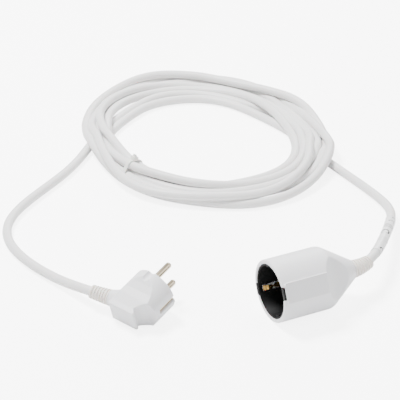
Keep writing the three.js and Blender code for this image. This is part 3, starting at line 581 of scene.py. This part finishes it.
# ------------------------------------------------------------------ coupler
def smooth_less(a, b, k):
    """The smaller of two heights, blended over k."""
    h = np.clip(0.5 + 0.5 * (b - a) / k, 0, 1)
    return b * (1 - h) + a * h - k * h * (1 - h)


def step_up(edge0, edge1, value):
    t = np.clip((value - edge0) / (edge1 - edge0), 0, 1)
    return t * t * (3 - 2 * t)


SCOOP_R = 22.0
CONE_SLOPE = (BARREL_R - NECK_R) / (NECK_X - BARREL_END_X)


def scoop_centre():
    start = Vector((MOUTH_X + 37, PAD_FACE))
    end = Vector((MOUTH_X + 60, BARREL_R - CONE_SLOPE * (MOUTH_X + 60 - BARREL_END_X)))
    chord = end - start
    rise = math.sqrt(SCOOP_R**2 - chord.length_squared / 4)
    return start + chord / 2 + Vector((-chord.y, chord.x)).normalized() * rise


def shell_columns():
    """Angles round the coupler from its +Y side, closer together at the edges of the pads."""
    quarter = list(np.arange(0, 10, 2.0)) + list(np.arange(10, 21.6, 0.35))
    quarter += list(np.arange(22.5, 90.1, 2.5))
    half = quarter + [180 - a for a in quarter[-2::-1]]
    return np.radians(half + [360 - a for a in half[-2:0:-1]])


def coupler_shell():
    columns = shell_columns()
    across = np.abs(np.cos(columns))
    centre = scoop_centre()
    rows = []

    def outer_radius(x, inset):
        cone = BARREL_R - CONE_SLOPE * (x - BARREL_END_X)
        radius = smooth_less(BARREL_R, cone, 1.6)
        full = np.full(len(columns), radius)
        flat = PAD_FACE / np.maximum(across, 0.2)
        side = np.abs(np.sin(columns)) * flat
        # the pad's front corners are round
        corner = min(max((x - MOUTH_X - 1.2) / 2.4, 0), 1)
        half = PAD_HALF - 2.4 * (1 - math.sqrt(1 - (1 - corner) ** 2))
        pad = 1 - step_up(half - 0.4, half + 0.1, side)
        pad = pad * (across > 0.5) * step_up(MOUTH_X + 1.1, MOUTH_X + 1.7, x) * (x < centre.x)
        full = full * (1 - pad) + np.maximum(flat, full) * pad
        if abs(x - centre.x) < SCOOP_R - 1:
            hollow = centre.y - math.sqrt(SCOOP_R**2 - (x - centre.x) ** 2)
            full = smooth_less(full, np.maximum(hollow, 5) / np.maximum(across, 0.05), 0.5)
        return full - inset

    def add_row(x, radius):
        radius = np.full(len(columns), radius) if np.isscalar(radius) else radius
        xs = np.full(len(columns), x)
        y, z = radius * np.cos(columns), radius * np.sin(columns)
        notch = (1 - step_up(4.9, 5.15, np.abs(z))) * (across > 0.5)
        xs = np.maximum(xs, MOUTH_X + RIM_NOTCH_DEPTH * notch)
        rows.append(np.stack([xs, y, z], 1))

    rim = 1.1
    for a in np.radians(np.linspace(0, 90, 6)):
        add_row(MOUTH_X + rim * (1 - math.cos(a)), outer_radius(MOUTH_X, rim * (1 - math.sin(a))))
    front = np.arange(MOUTH_X + 1.25, MOUTH_X + 4.2, 0.22)
    barrel = np.arange(MOUTH_X + 4.8, 0, 1.3)
    for x in np.concatenate([front, barrel, np.arange(0, NECK_X - 0.6, 0.6)]):
        add_row(x, outer_radius(x, 0))
    add_row(NECK_X - 0.5, outer_radius(NECK_X - 0.5, 0))
    add_row(NECK_X, outer_radius(NECK_X, 0.4))
    inner = [  # the cord's way in, the chamber behind the floor, and the bore of the insert
        (NECK_X, 6.1),
        (NECK_X - 0.3, 5.9),
        (NECK_X - 8.5, 5.9),
        (FLOOR_BACK_X + 21.5, 15.8),
        (FLOOR_BACK_X + 5, 15.8),
        (FLOOR_BACK_X + 3.7, 21.4),
        (FLOOR_BACK_X + 3, BORE_R),
        (MOUTH_X + 6, BORE_R),
        (MOUTH_X + 3.1, BORE_R),
        (MOUTH_X + 2, BORE_R),
        (MOUTH_X + 0.3, BORE_R),
        (MOUTH_X, 21.9),
    ]
    for x, radius in inner:
        add_row(x, radius)
    return finish_mesh("coupler_shell", ring_mesh("coupler_shell", rows), SHELL, COUPLER, 40)


place(coupler_shell(), "lead", "shell_white", "coupler_housing")


def coupler_insert():
    profile = [
        (MOUTH_X + 0.6, RECESS_R + 0.15),
        (MOUTH_X + 0.45, RECESS_R + 0.4),
        (MOUTH_X + 0.45, 21.1),
        (MOUTH_X + 0.7, 21.3),
        (FLOOR_X + 3, 21.3),
        (FLOOR_X + 3, 0.001),
        (FLOOR_X, 0.001),
        (FLOOR_X, RECESS_R - 0.6),
        (FLOOR_X - 0.2, RECESS_R - 0.2),
        (FLOOR_X - 0.7, RECESS_R),
        (MOUTH_X + 1, RECESS_R),
    ]
    steps = []
    for side in (-1, 1):
        key = sorted((side * (RECESS_R - 1.5), side * (RECESS_R + 0.5)))
        low, high = (MOUTH_X + 2, -2.5, key[0]), (FLOOR_X + 1, 2.5, key[1])
        steps.append(("UNION", box_mesh("key", low, high, 0.35)))
        tower = sorted((side * 3.8, side * 14.1))
        low, high = (FLOOR_X + 2, -5.5, tower[0]), (FLOOR_X + 20, 5.5, tower[1])
        steps.append(("UNION", box_mesh("tower", low, high, 0.3)))
        tab = sorted((side * (RECESS_R + 0.4), side * RIM_TAB_R))
        low, high = (MOUTH_X + 0.25, tab[0], -4.7), (MOUTH_X + RIM_NOTCH_DEPTH - 0.2, tab[1], 4.7)
        steps.append(("UNION", box_mesh("tab", low, high, 0.25)))
    for side in (-1, 1):
        hole = turned(
            "hole", [(FLOOR_X - 1, 0.001), (FLOOR_X - 1, 4.2), (FLOOR_X, 3.6), (FLOOR_X + 0.5, 3.2),
                     (FLOOR_X + 8, 3.2), (FLOOR_X + 8, 0.001)], 48
        )
        hole.transform(shift(0, 0, side * PIN_SPACING / 2))
        steps.append(("DIFFERENCE", hole))
        pocket = sorted((side * 5.1, side * 12.8))
        low, high = (FLOOR_X + 2.8, -4.3, pocket[0]), (FLOOR_X + 21, 4.3, pocket[1])
        steps.append(("DIFFERENCE", box_mesh("pocket", low, high)))
        slot = sorted((side * 18.4, side * 22.3))
        low, high = (MOUTH_X + 3.4, slot[0], -2.7), (FLOOR_X + 4, slot[1], 2.7)
        steps.append(("DIFFERENCE", box_mesh("slot", low, high)))
    mesh = combined(turned("coupler_insert", profile, 120), steps)
    # the insert's near-black colour is partly its own black and partly painted shade of the deep cup
    return finish_mesh("coupler_insert_black_painted_shade", mesh, INSERT_BLACK_AND_SHADE, COUPLER, 30)


place(coupler_insert(), "lead", "insert_black", "coupler_insert")


def spring_clip(side):
    """Stamped earth clip: a thin arm between its foot and a broad rolled-in contact bulge."""
    bulge, at = 17.8, MOUTH_X + 9
    path = [(FLOOR_BACK_X + 1, 19.3), (FLOOR_X - 2, 19.5), (FLOOR_X - 4.2, 19.1), (at + 4, bulge + 0.9)]
    path += [(at + 1.2, bulge), (at - 1.2, bulge), (at - 3.6, bulge + 1.5), (at - 4.7, bulge + 2.4)]
    path = rounded(path, 1.6, 6)
    centre = [Vector(p) for p in path]
    rows = []
    for i, point in enumerate(centre):
        before, after = centre[max(i - 1, 0)], centre[min(i + 1, len(centre) - 1)]
        along = (after - before).normalized()
        normal = Vector((-along.y, along.x)) * 0.35
        arm = step_up(at + 1.2, at + 2.4, point.x) * (1 - step_up(FLOOR_X - 4.5, FLOOR_X - 3.2, point.x))
        half = 1.75 - 1.25 * float(arm)
        ring = []
        for u, w in ((-1, -1), (-0.8, -1.05), (0.8, -1.05), (1, -1), (1, 1), (-1, 1)):
            offset = point + normal * u
            ring.append((offset.x, side * offset.y, w * half / 1.05))
        rows.append(ring)
    mesh = ring_mesh("clip", rows, False)
    name = "earth_clip_brass_" + ("far" if side > 0 else "near")
    return finish_mesh(name, mesh, BRASS, COUPLER, 40)


place(spring_clip(-1), "clip_near", "contact_brass", "earth_clip_near")
place(spring_clip(1), "clip_far", "contact_brass", "earth_clip_far")


# ------------------------------------------------------------------ bend sleeves
def bend_sleeve(name, root_radius, angle, matrix, webs):
    """Ribbed sleeve: six slots that two webs interrupt, at the given angles round it."""
    around = 120
    angles = np.linspace(0, 2 * math.pi, around, endpoint=False)
    web = np.max([step_up(0.955, 0.985, np.cos(angles - math.radians(w))) for w in webs], axis=0)
    rows = []

    def add_row(x, radius):
        radius = np.full(around, radius) if np.isscalar(radius) else radius
        rows.append(np.stack([np.full(around, x), radius * np.cos(angles), radius * np.sin(angles)], 1))

    pitch = (SLEEVE_LENGTH - 2.2) / 6
    for x in np.arange(0.3, SLEEVE_LENGTH - 0.2, 0.16):
        radius = root_radius + (SLEEVE_TIP_R - root_radius) * x / SLEEVE_LENGTH
        phase = ((x - 1.5) / pitch) % 1.0 if 1.5 < x < SLEEVE_LENGTH - 1.0 else 0.9
        slot = step_up(0.0, 0.12, phase) * (1 - step_up(0.42, 0.54, phase))
        add_row(x, radius - 1.5 * slot * (1 - web))
    end = SLEEVE_LENGTH
    add_row(end - 0.15, SLEEVE_TIP_R - 0.12)
    add_row(end, SLEEVE_TIP_R - 0.5)
    add_row(end, CORD_R + 0.25)
    for x in np.linspace(end - 0.5, 0, 10):
        add_row(x, CORD_R + 0.12)
    add_row(-5, CORD_R + 0.12)
    add_row(-5, 5.2)
    add_row(0.28, 5.2)
    shape = np.array(rows)
    shape = bent(shape.reshape(-1, 3), SLEEVE_LENGTH, angle).reshape(shape.shape)
    return finish_mesh(name, ring_mesh(name, shape), SLEEVE, matrix, 50)


coupler_sleeve = bend_sleeve(
    "coupler_sleeve_ribbed", COUPLER_SLEEVE_ROOT_R, COUPLER_SLEEVE_TURN, COUPLER_EXIT, (12, 282)
)
place(coupler_sleeve, "lead", "sleeve_white", "coupler_bend_sleeve")
plug_sleeve = bend_sleeve(
    "plug_sleeve_ribbed", PLUG_SLEEVE_ROOT_R, PLUG_SLEEVE_TURN, PLUG_EXIT, (99, 189)
)
place(plug_sleeve, "lead", "sleeve_white", "plug_bend_sleeve")


# ------------------------------------------------------------------ plug
UPRIGHT = turn(-90, "Y")  # from a profile's X to the plug's own axis


def plug_shell():
    back = -PLUG_DEPTH
    slope = [(-19.5, 1), (-19.5, -21.5), (-17, -22.3), (-12, -24.4), (-8, -28), (-5.7, -31.2)]
    slope += [(-7.4, -32.6), (-8.4, back + 1.2), (-7.6, back)]
    outline = rounded(slope, 1.2, 3) + [(16, back), (18.5, back + 8), (19.5, back + 10), (19.5, 1)]
    cutter = slab_mesh("profile", outline, -30, 30)
    # u, v, depth to the plug's x, z, y
    cutter.transform(Matrix(((1, 0, 0, 0), (0, 0, -1, 0), (0, 1, 0, 0), (0, 0, 0, 1))))
    body = turned(
        "body",
        [(0, 0.001), (0, PLUG_R - 0.7), (-0.7, PLUG_R), (back - 1, PLUG_R), (back - 1, 0.001)],
        180,
    )
    body.transform(UPRIGHT)
    neck = turned(
        "neck",
        [(6, 0.001), (6, 9.4), (15.5, 9.0), (19.5, 7.7), (22.3, 6.9), (24.3, 6.6), (24.3, 0.001)],
        96,
    )
    neck.transform(shift(0, 0, -PLUG_NECK_DEPTH) @ turn(PLUG_CORD_TILT, "Y"))
    steps = [("INTERSECT", cutter), ("UNION", neck)]
    for side in (-1, 1):
        # a thumb flat: a shallow dish that starts with an arc behind the face
        dish = [(19.6, -4.0), (18.0, -7.2), (15.9, -11.5), (13.7, -17.5), (12.2, -23.4)]
        dish += [(9.6, back + 4), (8.4, back - 1)]
        dish = [(side * y, z) for y, z in dish + [(30, back - 1), (30, -4.0)]]
        flat = slab_mesh("flat", dish, -60, 60)
        flat.transform(Matrix(((0, 0, 1, 0), (1, 0, 0, 0), (0, 1, 0, 0), (0, 0, 0, 1))))
        steps.append(("DIFFERENCE", flat))
        groove = [(1, 0.001), (1, 3.1), (-8, 3.1), (-9.6, 2.4), (-10.6, 0.9), (-10.8, 0.001)]
        guide = turned("guide", groove, 48)
        guide.transform(shift(0, side * (PLUG_R + 0.9), 0) @ UPRIGHT)
        steps.append(("DIFFERENCE", guide))
        # a ridge along the groove that an earth strip lies in
        ridge = sorted((side * 15.5, side * 18.75))
        low, high = (ridge[0], -4.6, -17.6), (ridge[1], -1.9, -0.7)
        steps.append(("UNION", box_mesh("ridge", low, high, 0.5)))
        recess = sorted((side * 16.2, side * 19.5))
        low, high = (recess[0], -1.8, -17.4), (recess[1], 1.8, 1)
        steps.append(("DIFFERENCE", box_mesh("recess", low, high)))
    face = turned("face", [(1, 0.001), (1, 15.6), (-0.7, 15.6), (-0.7, 0.001)], 96)
    face.transform(UPRIGHT)
    steps.append(("DIFFERENCE", face))
    mesh = softened(combined(body, steps), 0.26, 5)
    return finish_mesh("plug_body_moulded", mesh, SHELL, PLUG, 80)


place(plug_shell(), "lead", "shell_white", "plug_housing")


def plug_face():
    profile = [(-1.2, 0.001), (-1.2, 15.4), (-0.4, 15.4), (-0.15, 15.1), (-0.15, 0.001)]
    mesh = turned("plug_face", profile, 120)
    mesh.transform(UPRIGHT)
    return finish_mesh("plug_face_disc", mesh, SHELL, PLUG, 40)


place(plug_face(), "lead", "shell_white", "plug_pin_carrier")


def plug_pin(side):
    """Pin with a thin collar where it leaves the face and a round tip."""
    r = PIN_R
    tip = r - 0.2
    profile = [(-3, 0.001), (-3, r), (-0.1, r), (0.0, r + 0.55), (0.25, r + 0.5), (0.35, r)]
    profile += [(PIN_LENGTH - 2, r)]
    for a in np.linspace(0.15, 1.45, 9):
        profile.append((PIN_LENGTH - tip + tip * math.sin(a), r - tip + tip * math.cos(a)))
    profile += [(PIN_LENGTH, 0.001)]
    mesh = turned("pin", profile, 64)
    mesh.transform(shift(0, side * PIN_SPACING / 2, 0) @ UPRIGHT)
    return finish_mesh("pin_turned_" + ("upper" if side > 0 else "lower"), mesh, NICKEL, PLUG, 30)


place(plug_pin(1), "lead", "pin_nickel", "plug_pin_upper")
place(plug_pin(-1), "lead", "pin_nickel", "plug_pin_lower")


def plug_earth():
    strips = []
    for side in (-1, 1):
        xs = sorted((side * 16.25, side * 17.1))
        strips.append(("UNION", box_mesh("strip", (xs[0], -1.65, -17), (xs[1], 1.65, -0.9), 0.2)))
    bridge = box_mesh("bridge", (-16.8, -1.5, -9.4), (16.8, 1.5, -8.4))
    return finish_mesh("plug_earth_strips", combined(bridge, strips), NICKEL, PLUG, 30)


place(plug_earth(), "lead", "pin_nickel", "plug_earth_bracket")

# ------------------------------------------------------------------ label round the cord
LABEL_START = 17.0
LABEL_LENGTH = 70.0
LABEL_SEAM = 1.75  # how far round the cord the film's first edge lies, in radians


def film_material():
    """Clear-coated white film with generic dark bars printed across it."""
    material = moulded("bopp_label_film", "f4f4f4", 0.22, 6.0, 0.25)
    tree = material.node_tree
    shader = tree.nodes["Principled BSDF"]
    where = add_node(tree, "ShaderNodeUVMap")
    where.uv_map = "label"
    split = add_node(tree, "ShaderNodeSeparateXYZ")
    tree.links.new(where.outputs["UV"], split.inputs["Vector"])

    def maths(operation, a, b):
        node = tree.nodes.new("ShaderNodeMath")
        node.operation = operation
        for socket, value in zip(node.inputs, (a, b)):
            if isinstance(value, (int, float)):
                socket.default_value = value
            else:
                tree.links.new(value, socket)
        return node.outputs[0]

    def between(value, low, high):
        return maths("MULTIPLY", maths("GREATER_THAN", value, low), maths("LESS_THAN", value, high))

    along, around = split.outputs["X"], split.outputs["Y"]

    def either(*shapes):
        whole = shapes[0]
        for shape in shapes[1:]:
            whole = maths("MAXIMUM", whole, shape)
        return whole

    def arc(centre, share, inner, outer, cut):
        """Part of a ring round a point of the film; the film is 28 mm round."""
        u = maths("SUBTRACT", along, centre)
        v = maths("MULTIPLY", maths("SUBTRACT", around, share), 28.0)
        far = maths("SQRT", maths("ADD", maths("MULTIPLY", u, u), maths("MULTIPLY", v, v)), 0.0)
        return maths("MULTIPLY", between(far, inner, outer), maths("GREATER_THAN", u, cut))

    # plain marks, in millimetres along and shares of a turn
    dark = either(
        arc(4.0, 0.33, 1.4, 2.6, -1.0),
        arc(34.0, 0.50, 2.6, 4.0, -2.6),
        arc(56.0, 0.42, 2.2, 3.2, 0.2),
        arc(64.0, 0.34, 2.2, 3.2, 0.2),
    )
    bars = between(maths("FRACT", maths("DIVIDE", along, 2.4), 0.0), 0.25, 0.8)
    patch = maths("MULTIPLY", between(along, 43.5, 51.0), between(around, 0.3, 0.62))
    grey = maths("MULTIPLY", patch, bars)
    pale = between(along, 16.0, 24.0)
    ink = either(dark, maths("MULTIPLY", grey, 0.62), maths("MULTIPLY", pale, 0.10))
    mix = tree.nodes.new("ShaderNodeMix")
    mix.data_type = "RGBA"
    mix.inputs["A"].default_value = linear("f4f4f4")
    mix.inputs["B"].default_value = linear("2a2a2c")
    tree.links.new(ink, mix.inputs["Factor"])
    tree.links.new(mix.outputs["Result"], shader.inputs["Base Color"])
    return material


def label_wrap():
    """Film wound once round the cord, its last edge lifting a little over the first."""
    tail = evenly(ROUTE_FINE[::-1], 1.0)
    skip = int(round(SLEEVE_LENGTH + 6 + LABEL_START))
    axis = tail[skip : skip + int(LABEL_LENGTH) + 1 : 2]
    around = 56
    rows, outline = [], []
    for i in range(around):
        share = i / (around - 1)
        radius = 4.15 + 0.45 * step_up(0.55, 1.0, share) + 0.9 * step_up(0.93, 1.0, share)
        outline.append((radius, 2 * math.pi * 1.04 * share))
    back = [(radius - 0.14, angle) for radius, angle in outline[::-1]]
    loop = outline + back
    up = Vector((0, 0, 1))
    for i, point in enumerate(axis):
        before, after = axis[max(i - 1, 0)], axis[min(i + 1, len(axis) - 1)]
        along = Vector(after - before).normalized()
        side = along.cross(up).normalized()
        top = side.cross(along)
        ripple = 0.10 * math.sin(i * 1.7) + 0.07 * math.sin(i * 0.6 + 1)
        ring = []
        for radius, angle in loop:
            extra = ripple * math.cos(2 * angle + i * 0.3)
            at = angle - LABEL_SEAM
            offset = float(radius + extra) * (math.cos(at) * side + math.sin(at) * top)
            ring.append(tuple(Vector(point) + offset))
        rows.append(ring)
    mesh = ring_mesh("label", rows, False)
    uv = mesh.uv_layers.new(name="label")
    count = len(loop)
    for polygon in mesh.polygons:
        for corner in polygon.loop_indices:
            vertex = mesh.loops[corner].vertex_index
            row, column = divmod(vertex, count)
            turn_share = column / around if column < around else (2 * around - 1 - column) / around
            uv.data[corner].uv = (row * 2.0, turn_share)
    return finish_mesh("label_film_wrap", mesh, film_material(), None, 50)


place(label_wrap(), "lead", "label_white", "label_wrap")

# ------------------------------------------------------------------ cable tie
TIE_ANGLE = 196.0
TIE_HALF_WIDTH = 1.8
TIE_REACH = 97.0  # the band holds the strands nearer to the coil's centre than this


def tie_section():
    """Where the tie's plane cuts the cord: [out, up] points measured from the coil's centre."""
    facing = np.array([math.cos(math.radians(TIE_ANGLE)), math.sin(math.radians(TIE_ANGLE))])
    side = np.array([-facing[1], facing[0]])
    flat = ROUTE_FINE[:, :2] - np.array(COIL_CENTRE)
    out, across = flat @ facing, flat @ side
    cuts = []
    for i in range(len(across) - 1):
        if across[i] * across[i + 1] <= 0 and 60 < out[i] < TIE_REACH and across[i] != across[i + 1]:
            t = across[i] / (across[i] - across[i + 1])
            z = ROUTE_FINE[i, 2] * (1 - t) + ROUTE_FINE[i + 1, 2] * t
            cuts.append((out[i] * (1 - t) + out[i + 1] * t, z))
    return facing, side, cuts


def tie_loop(cuts, offset):
    """Tight outline round circles at the cuts, anticlockwise, as [out, up] points."""
    angles = np.linspace(0, 2 * math.pi, 96, endpoint=False)
    circle = [(offset * math.cos(a), offset * math.sin(a)) for a in angles]
    cloud = np.array([(o + u, z + v) for o, z in cuts for u, v in circle])
    cloud = cloud[np.lexsort((cloud[:, 1], cloud[:, 0]))]

    def half(points):
        chain = []
        for p in points:
            while len(chain) > 1:
                u, v = chain[-1] - chain[-2], p - chain[-1]
                if u[0] * v[1] - u[1] * v[0] > 1e-9:
                    break
                chain.pop()
            chain.append(p)
        return chain[:-1]

    loop = half(list(cloud)) + half(list(cloud[::-1]))
    closed = np.array([*loop, loop[0]])
    return evenly(closed, 1.2)[:-1]


# the strap's section: [thickness, share of its half width] points
STRAP = [(-0.5, -0.85), (-0.35, -1), (0.35, -1), (0.5, -0.85)]
STRAP += [(0.5, 0.85), (0.35, 1), (-0.35, 1), (-0.5, 0.85)]


def tie_band():
    """The strap round the strands, with the directions and the outline that place its head."""
    facing, side, cuts = tie_section()
    loop = tie_loop(cuts, CORD_R + 0.75)
    loop[:, 1] = np.maximum(loop[:, 1], 0.65)
    rows = []
    count = len(loop)
    for i, (out, up) in enumerate(loop):
        before, after = loop[i - 1], loop[(i + 1) % count]
        along = Vector(after - before).normalized()
        normal = Vector((along.y, -along.x))
        ring = []
        for u, w in STRAP:
            o, z = out + normal.x * u, up + normal.y * u
            flat = np.array(COIL_CENTRE) + facing * o + side * w * TIE_HALF_WIDTH
            ring.append((flat[0], flat[1], max(z, 0.1)))
        rows.append(ring)
    mesh = ring_mesh("tie_band", rows)
    return finish_mesh("tie_band", mesh, NYLON, None, 40), facing, side, loop


band, tie_facing, tie_side, loop = tie_band()


def tie_frame():
    """Frame on the band over the inner edge of the bundle: X towards the hole, Z off the bundle."""
    low = loop[:, 0].min()
    inner = [p for p in loop if p[0] < low + 9]
    top = max(inner, key=lambda p: p[1])
    centre = np.array(COIL_CENTRE) + tie_facing * top[0]
    inward, across = Vector((*-tie_facing, 0)), Vector((*tie_side, 0))
    lean = Matrix.Rotation(math.radians(24), 4, "Y")
    turned_in = Matrix((inward, -across, Vector((0, 0, 1)))).transposed().to_4x4()
    return shift(centre[0], centre[1], top[1]) @ turned_in @ lean


TIE = tie_frame()


def tie_head():
    head = box_mesh("head", (-2.7, -2.5, -0.3), (2.7, 2.5, 3.6), 0.7)
    slot = box_mesh("slot", (-1.4, -2.0, -1), (0.6, 2.0, 6))
    return finish_mesh("tie_head", combined(head, [("DIFFERENCE", slot)]), NYLON, TIE, 40)


head = tie_head()


def ratchet_group():
    """Geometry Nodes: a row of ratchet teeth along X."""
    group = bpy.data.node_groups.new("ratchet_teeth", "GeometryNodeTree")
    face = group.interface
    face.new_socket("Geometry", in_out="OUTPUT", socket_type="NodeSocketGeometry")
    count = face.new_socket("Teeth", in_out="INPUT", socket_type="NodeSocketInt")
    pitch = face.new_socket("Pitch", in_out="INPUT", socket_type="NodeSocketFloat")
    width = face.new_socket("Width", in_out="INPUT", socket_type="NodeSocketFloat")
    enter, leave = group.nodes.new("NodeGroupInput"), group.nodes.new("NodeGroupOutput")
    row = group.nodes.new("GeometryNodeMeshLine")
    step = group.nodes.new("ShaderNodeCombineXYZ")
    size = group.nodes.new("ShaderNodeCombineXYZ")
    deep = group.nodes.new("ShaderNodeMath")
    deep.operation = "MULTIPLY"
    deep.inputs[1].default_value = 0.55
    tooth = group.nodes.new("GeometryNodeMeshCube")
    spread = group.nodes.new("GeometryNodeInstanceOnPoints")
    lean = group.nodes.new("FunctionNodeInputVector")
    lean.vector = (0.0, math.radians(24), 0.0)
    real = group.nodes.new("GeometryNodeRealizeInstances")
    paint = group.nodes.new("GeometryNodeSetMaterial")
    paint.inputs["Material"].default_value = NYLON
    link = group.links.new
    link(enter.outputs["Teeth"], row.inputs["Count"])
    link(enter.outputs["Pitch"], step.inputs["X"])
    link(step.outputs["Vector"], row.inputs["Offset"])
    link(enter.outputs["Pitch"], deep.inputs[0])
    link(deep.outputs["Value"], size.inputs["X"])
    link(enter.outputs["Width"], size.inputs["Y"])
    link(deep.outputs["Value"], size.inputs["Z"])
    link(size.outputs["Vector"], tooth.inputs["Size"])
    link(row.outputs["Mesh"], spread.inputs["Points"])
    link(tooth.outputs["Mesh"], spread.inputs["Instance"])
    link(lean.outputs["Vector"], spread.inputs["Rotation"])
    link(spread.outputs["Instances"], real.inputs["Geometry"])
    link(real.outputs["Geometry"], paint.inputs["Geometry"])
    link(paint.outputs["Geometry"], leave.inputs["Geometry"])
    return group, {"Teeth": count.identifier, "Pitch": pitch.identifier, "Width": width.identifier}


def tie_tail():
    """The strap's cut-off end that stands out of the head, with its ratchet teeth."""
    strap = box_mesh("strap", (-1.1, -TIE_HALF_WIDTH, 1.6), (0.1, TIE_HALF_WIDTH, 5.2), 0.2)
    group, sockets = ratchet_group()
    holder = bpy.data.objects.new("teeth", bpy.data.meshes.new("teeth"))
    bpy.context.scene.collection.objects.link(holder)
    modifier = holder.modifiers.new("teeth", "NODES")
    modifier.node_group = group
    modifier[sockets["Teeth"]] = 2
    modifier[sockets["Pitch"]] = 0.9
    modifier[sockets["Width"]] = 2.6
    teeth = baked(holder)
    teeth.transform(shift(-1.2, 0, 4.1) @ turn(-90, "Y"))
    join = bmesh.new()
    join.from_mesh(strap)
    join.from_mesh(teeth)
    mesh = bpy.data.meshes.new("tie_tail")
    join.to_mesh(mesh)
    join.free()
    return finish_mesh("tie_tail", mesh, NYLON, TIE, 40)


tail_end = tie_tail()
place(band, "lead", "tie_white", "cable_tie")
place(head, "lead", "tie_white")
place(tail_end, "lead", "tie_white")

# ------------------------------------------------------------------ CAD pieces that still show
for names, material, slot in (
    (("contact_retainer", "coupler_cord_clamp", "plug_cord_clamp"), COVER, "cover_grey"),
    (("line_contact_upper", "line_contact_lower", "earth_bridge"), BRASS, "contact_brass"),
    (("contact_leaf_upper", "contact_leaf_lower"), BRASS, "contact_brass"),
    (("coupler_core_live", "plug_core_live"), CORE_BROWN, "core_brown"),
    (("coupler_core_neutral", "plug_core_neutral"), CORE_BLUE, "core_blue"),
    (("coupler_core_earth", "plug_core_earth"), CORE_GREEN, "core_green_yellow"),
):
    for name in names:
        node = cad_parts[name]
        node.data.materials.clear()
        node.data.materials.append(material)

# ------------------------------------------------------------------ stage
floor_mesh = raw_mesh("floor", [(-30, -30, 0), (30, -30, 0), (30, 30, 0), (-30, 30, 0)], [(0, 1, 2, 3)])
floor = bpy.data.objects.new("floor", floor_mesh)
floor.location = (0, 0, -0.0003)
table = moulded("white_table", "ffffff", 0.7, 8, 0.0)
table_shader = table.node_tree.nodes["Principled BSDF"]
table_shader.inputs["Emission Color"].default_value = linear("ffffff")
# a bright sweep behind the lead that does not light it
seen = add_node(table.node_tree, "ShaderNodeLightPath")
glow = table.node_tree.nodes.new("ShaderNodeMath")
glow.operation = "MULTIPLY"
glow.inputs[1].default_value = 5.0
table.node_tree.links.new(seen.outputs["Is Camera Ray"], glow.inputs[0])
table.node_tree.links.new(glow.outputs["Value"], table_shader.inputs["Emission Strength"])
floor_mesh.materials.append(table)
bpy.context.scene.collection.objects.link(floor)


def lamp(name, place_at, aim, size, power):
    data = bpy.data.lights.new(name, "AREA")
    data.shape = "DISK"
    data.size = size
    data.energy = power
    obj = bpy.data.objects.new(name, data)
    obj.location = place_at
    obj.rotation_euler = (Vector(aim) - Vector(place_at)).to_track_quat("-Z", "Y").to_euler()
    bpy.context.scene.collection.objects.link(obj)
    return obj


AIM = (0.0, 0.17, 0.0)
lamp("key", (-0.5, 0.7, 1.7), AIM, 0.6, 82)
lamp("fill", (1.2, -0.9, 1.3), AIM, 1.8, 15)
lamp("back", (0.9, 1.3, 0.9), AIM, 1.0, 18)
world = bpy.data.worlds.new("studio")
world.use_nodes = True
world.node_tree.nodes["Background"].inputs["Color"].default_value = linear("ffffff")
world.node_tree.nodes["Background"].inputs["Strength"].default_value = 0.7
bpy.context.scene.world = world

note_size()
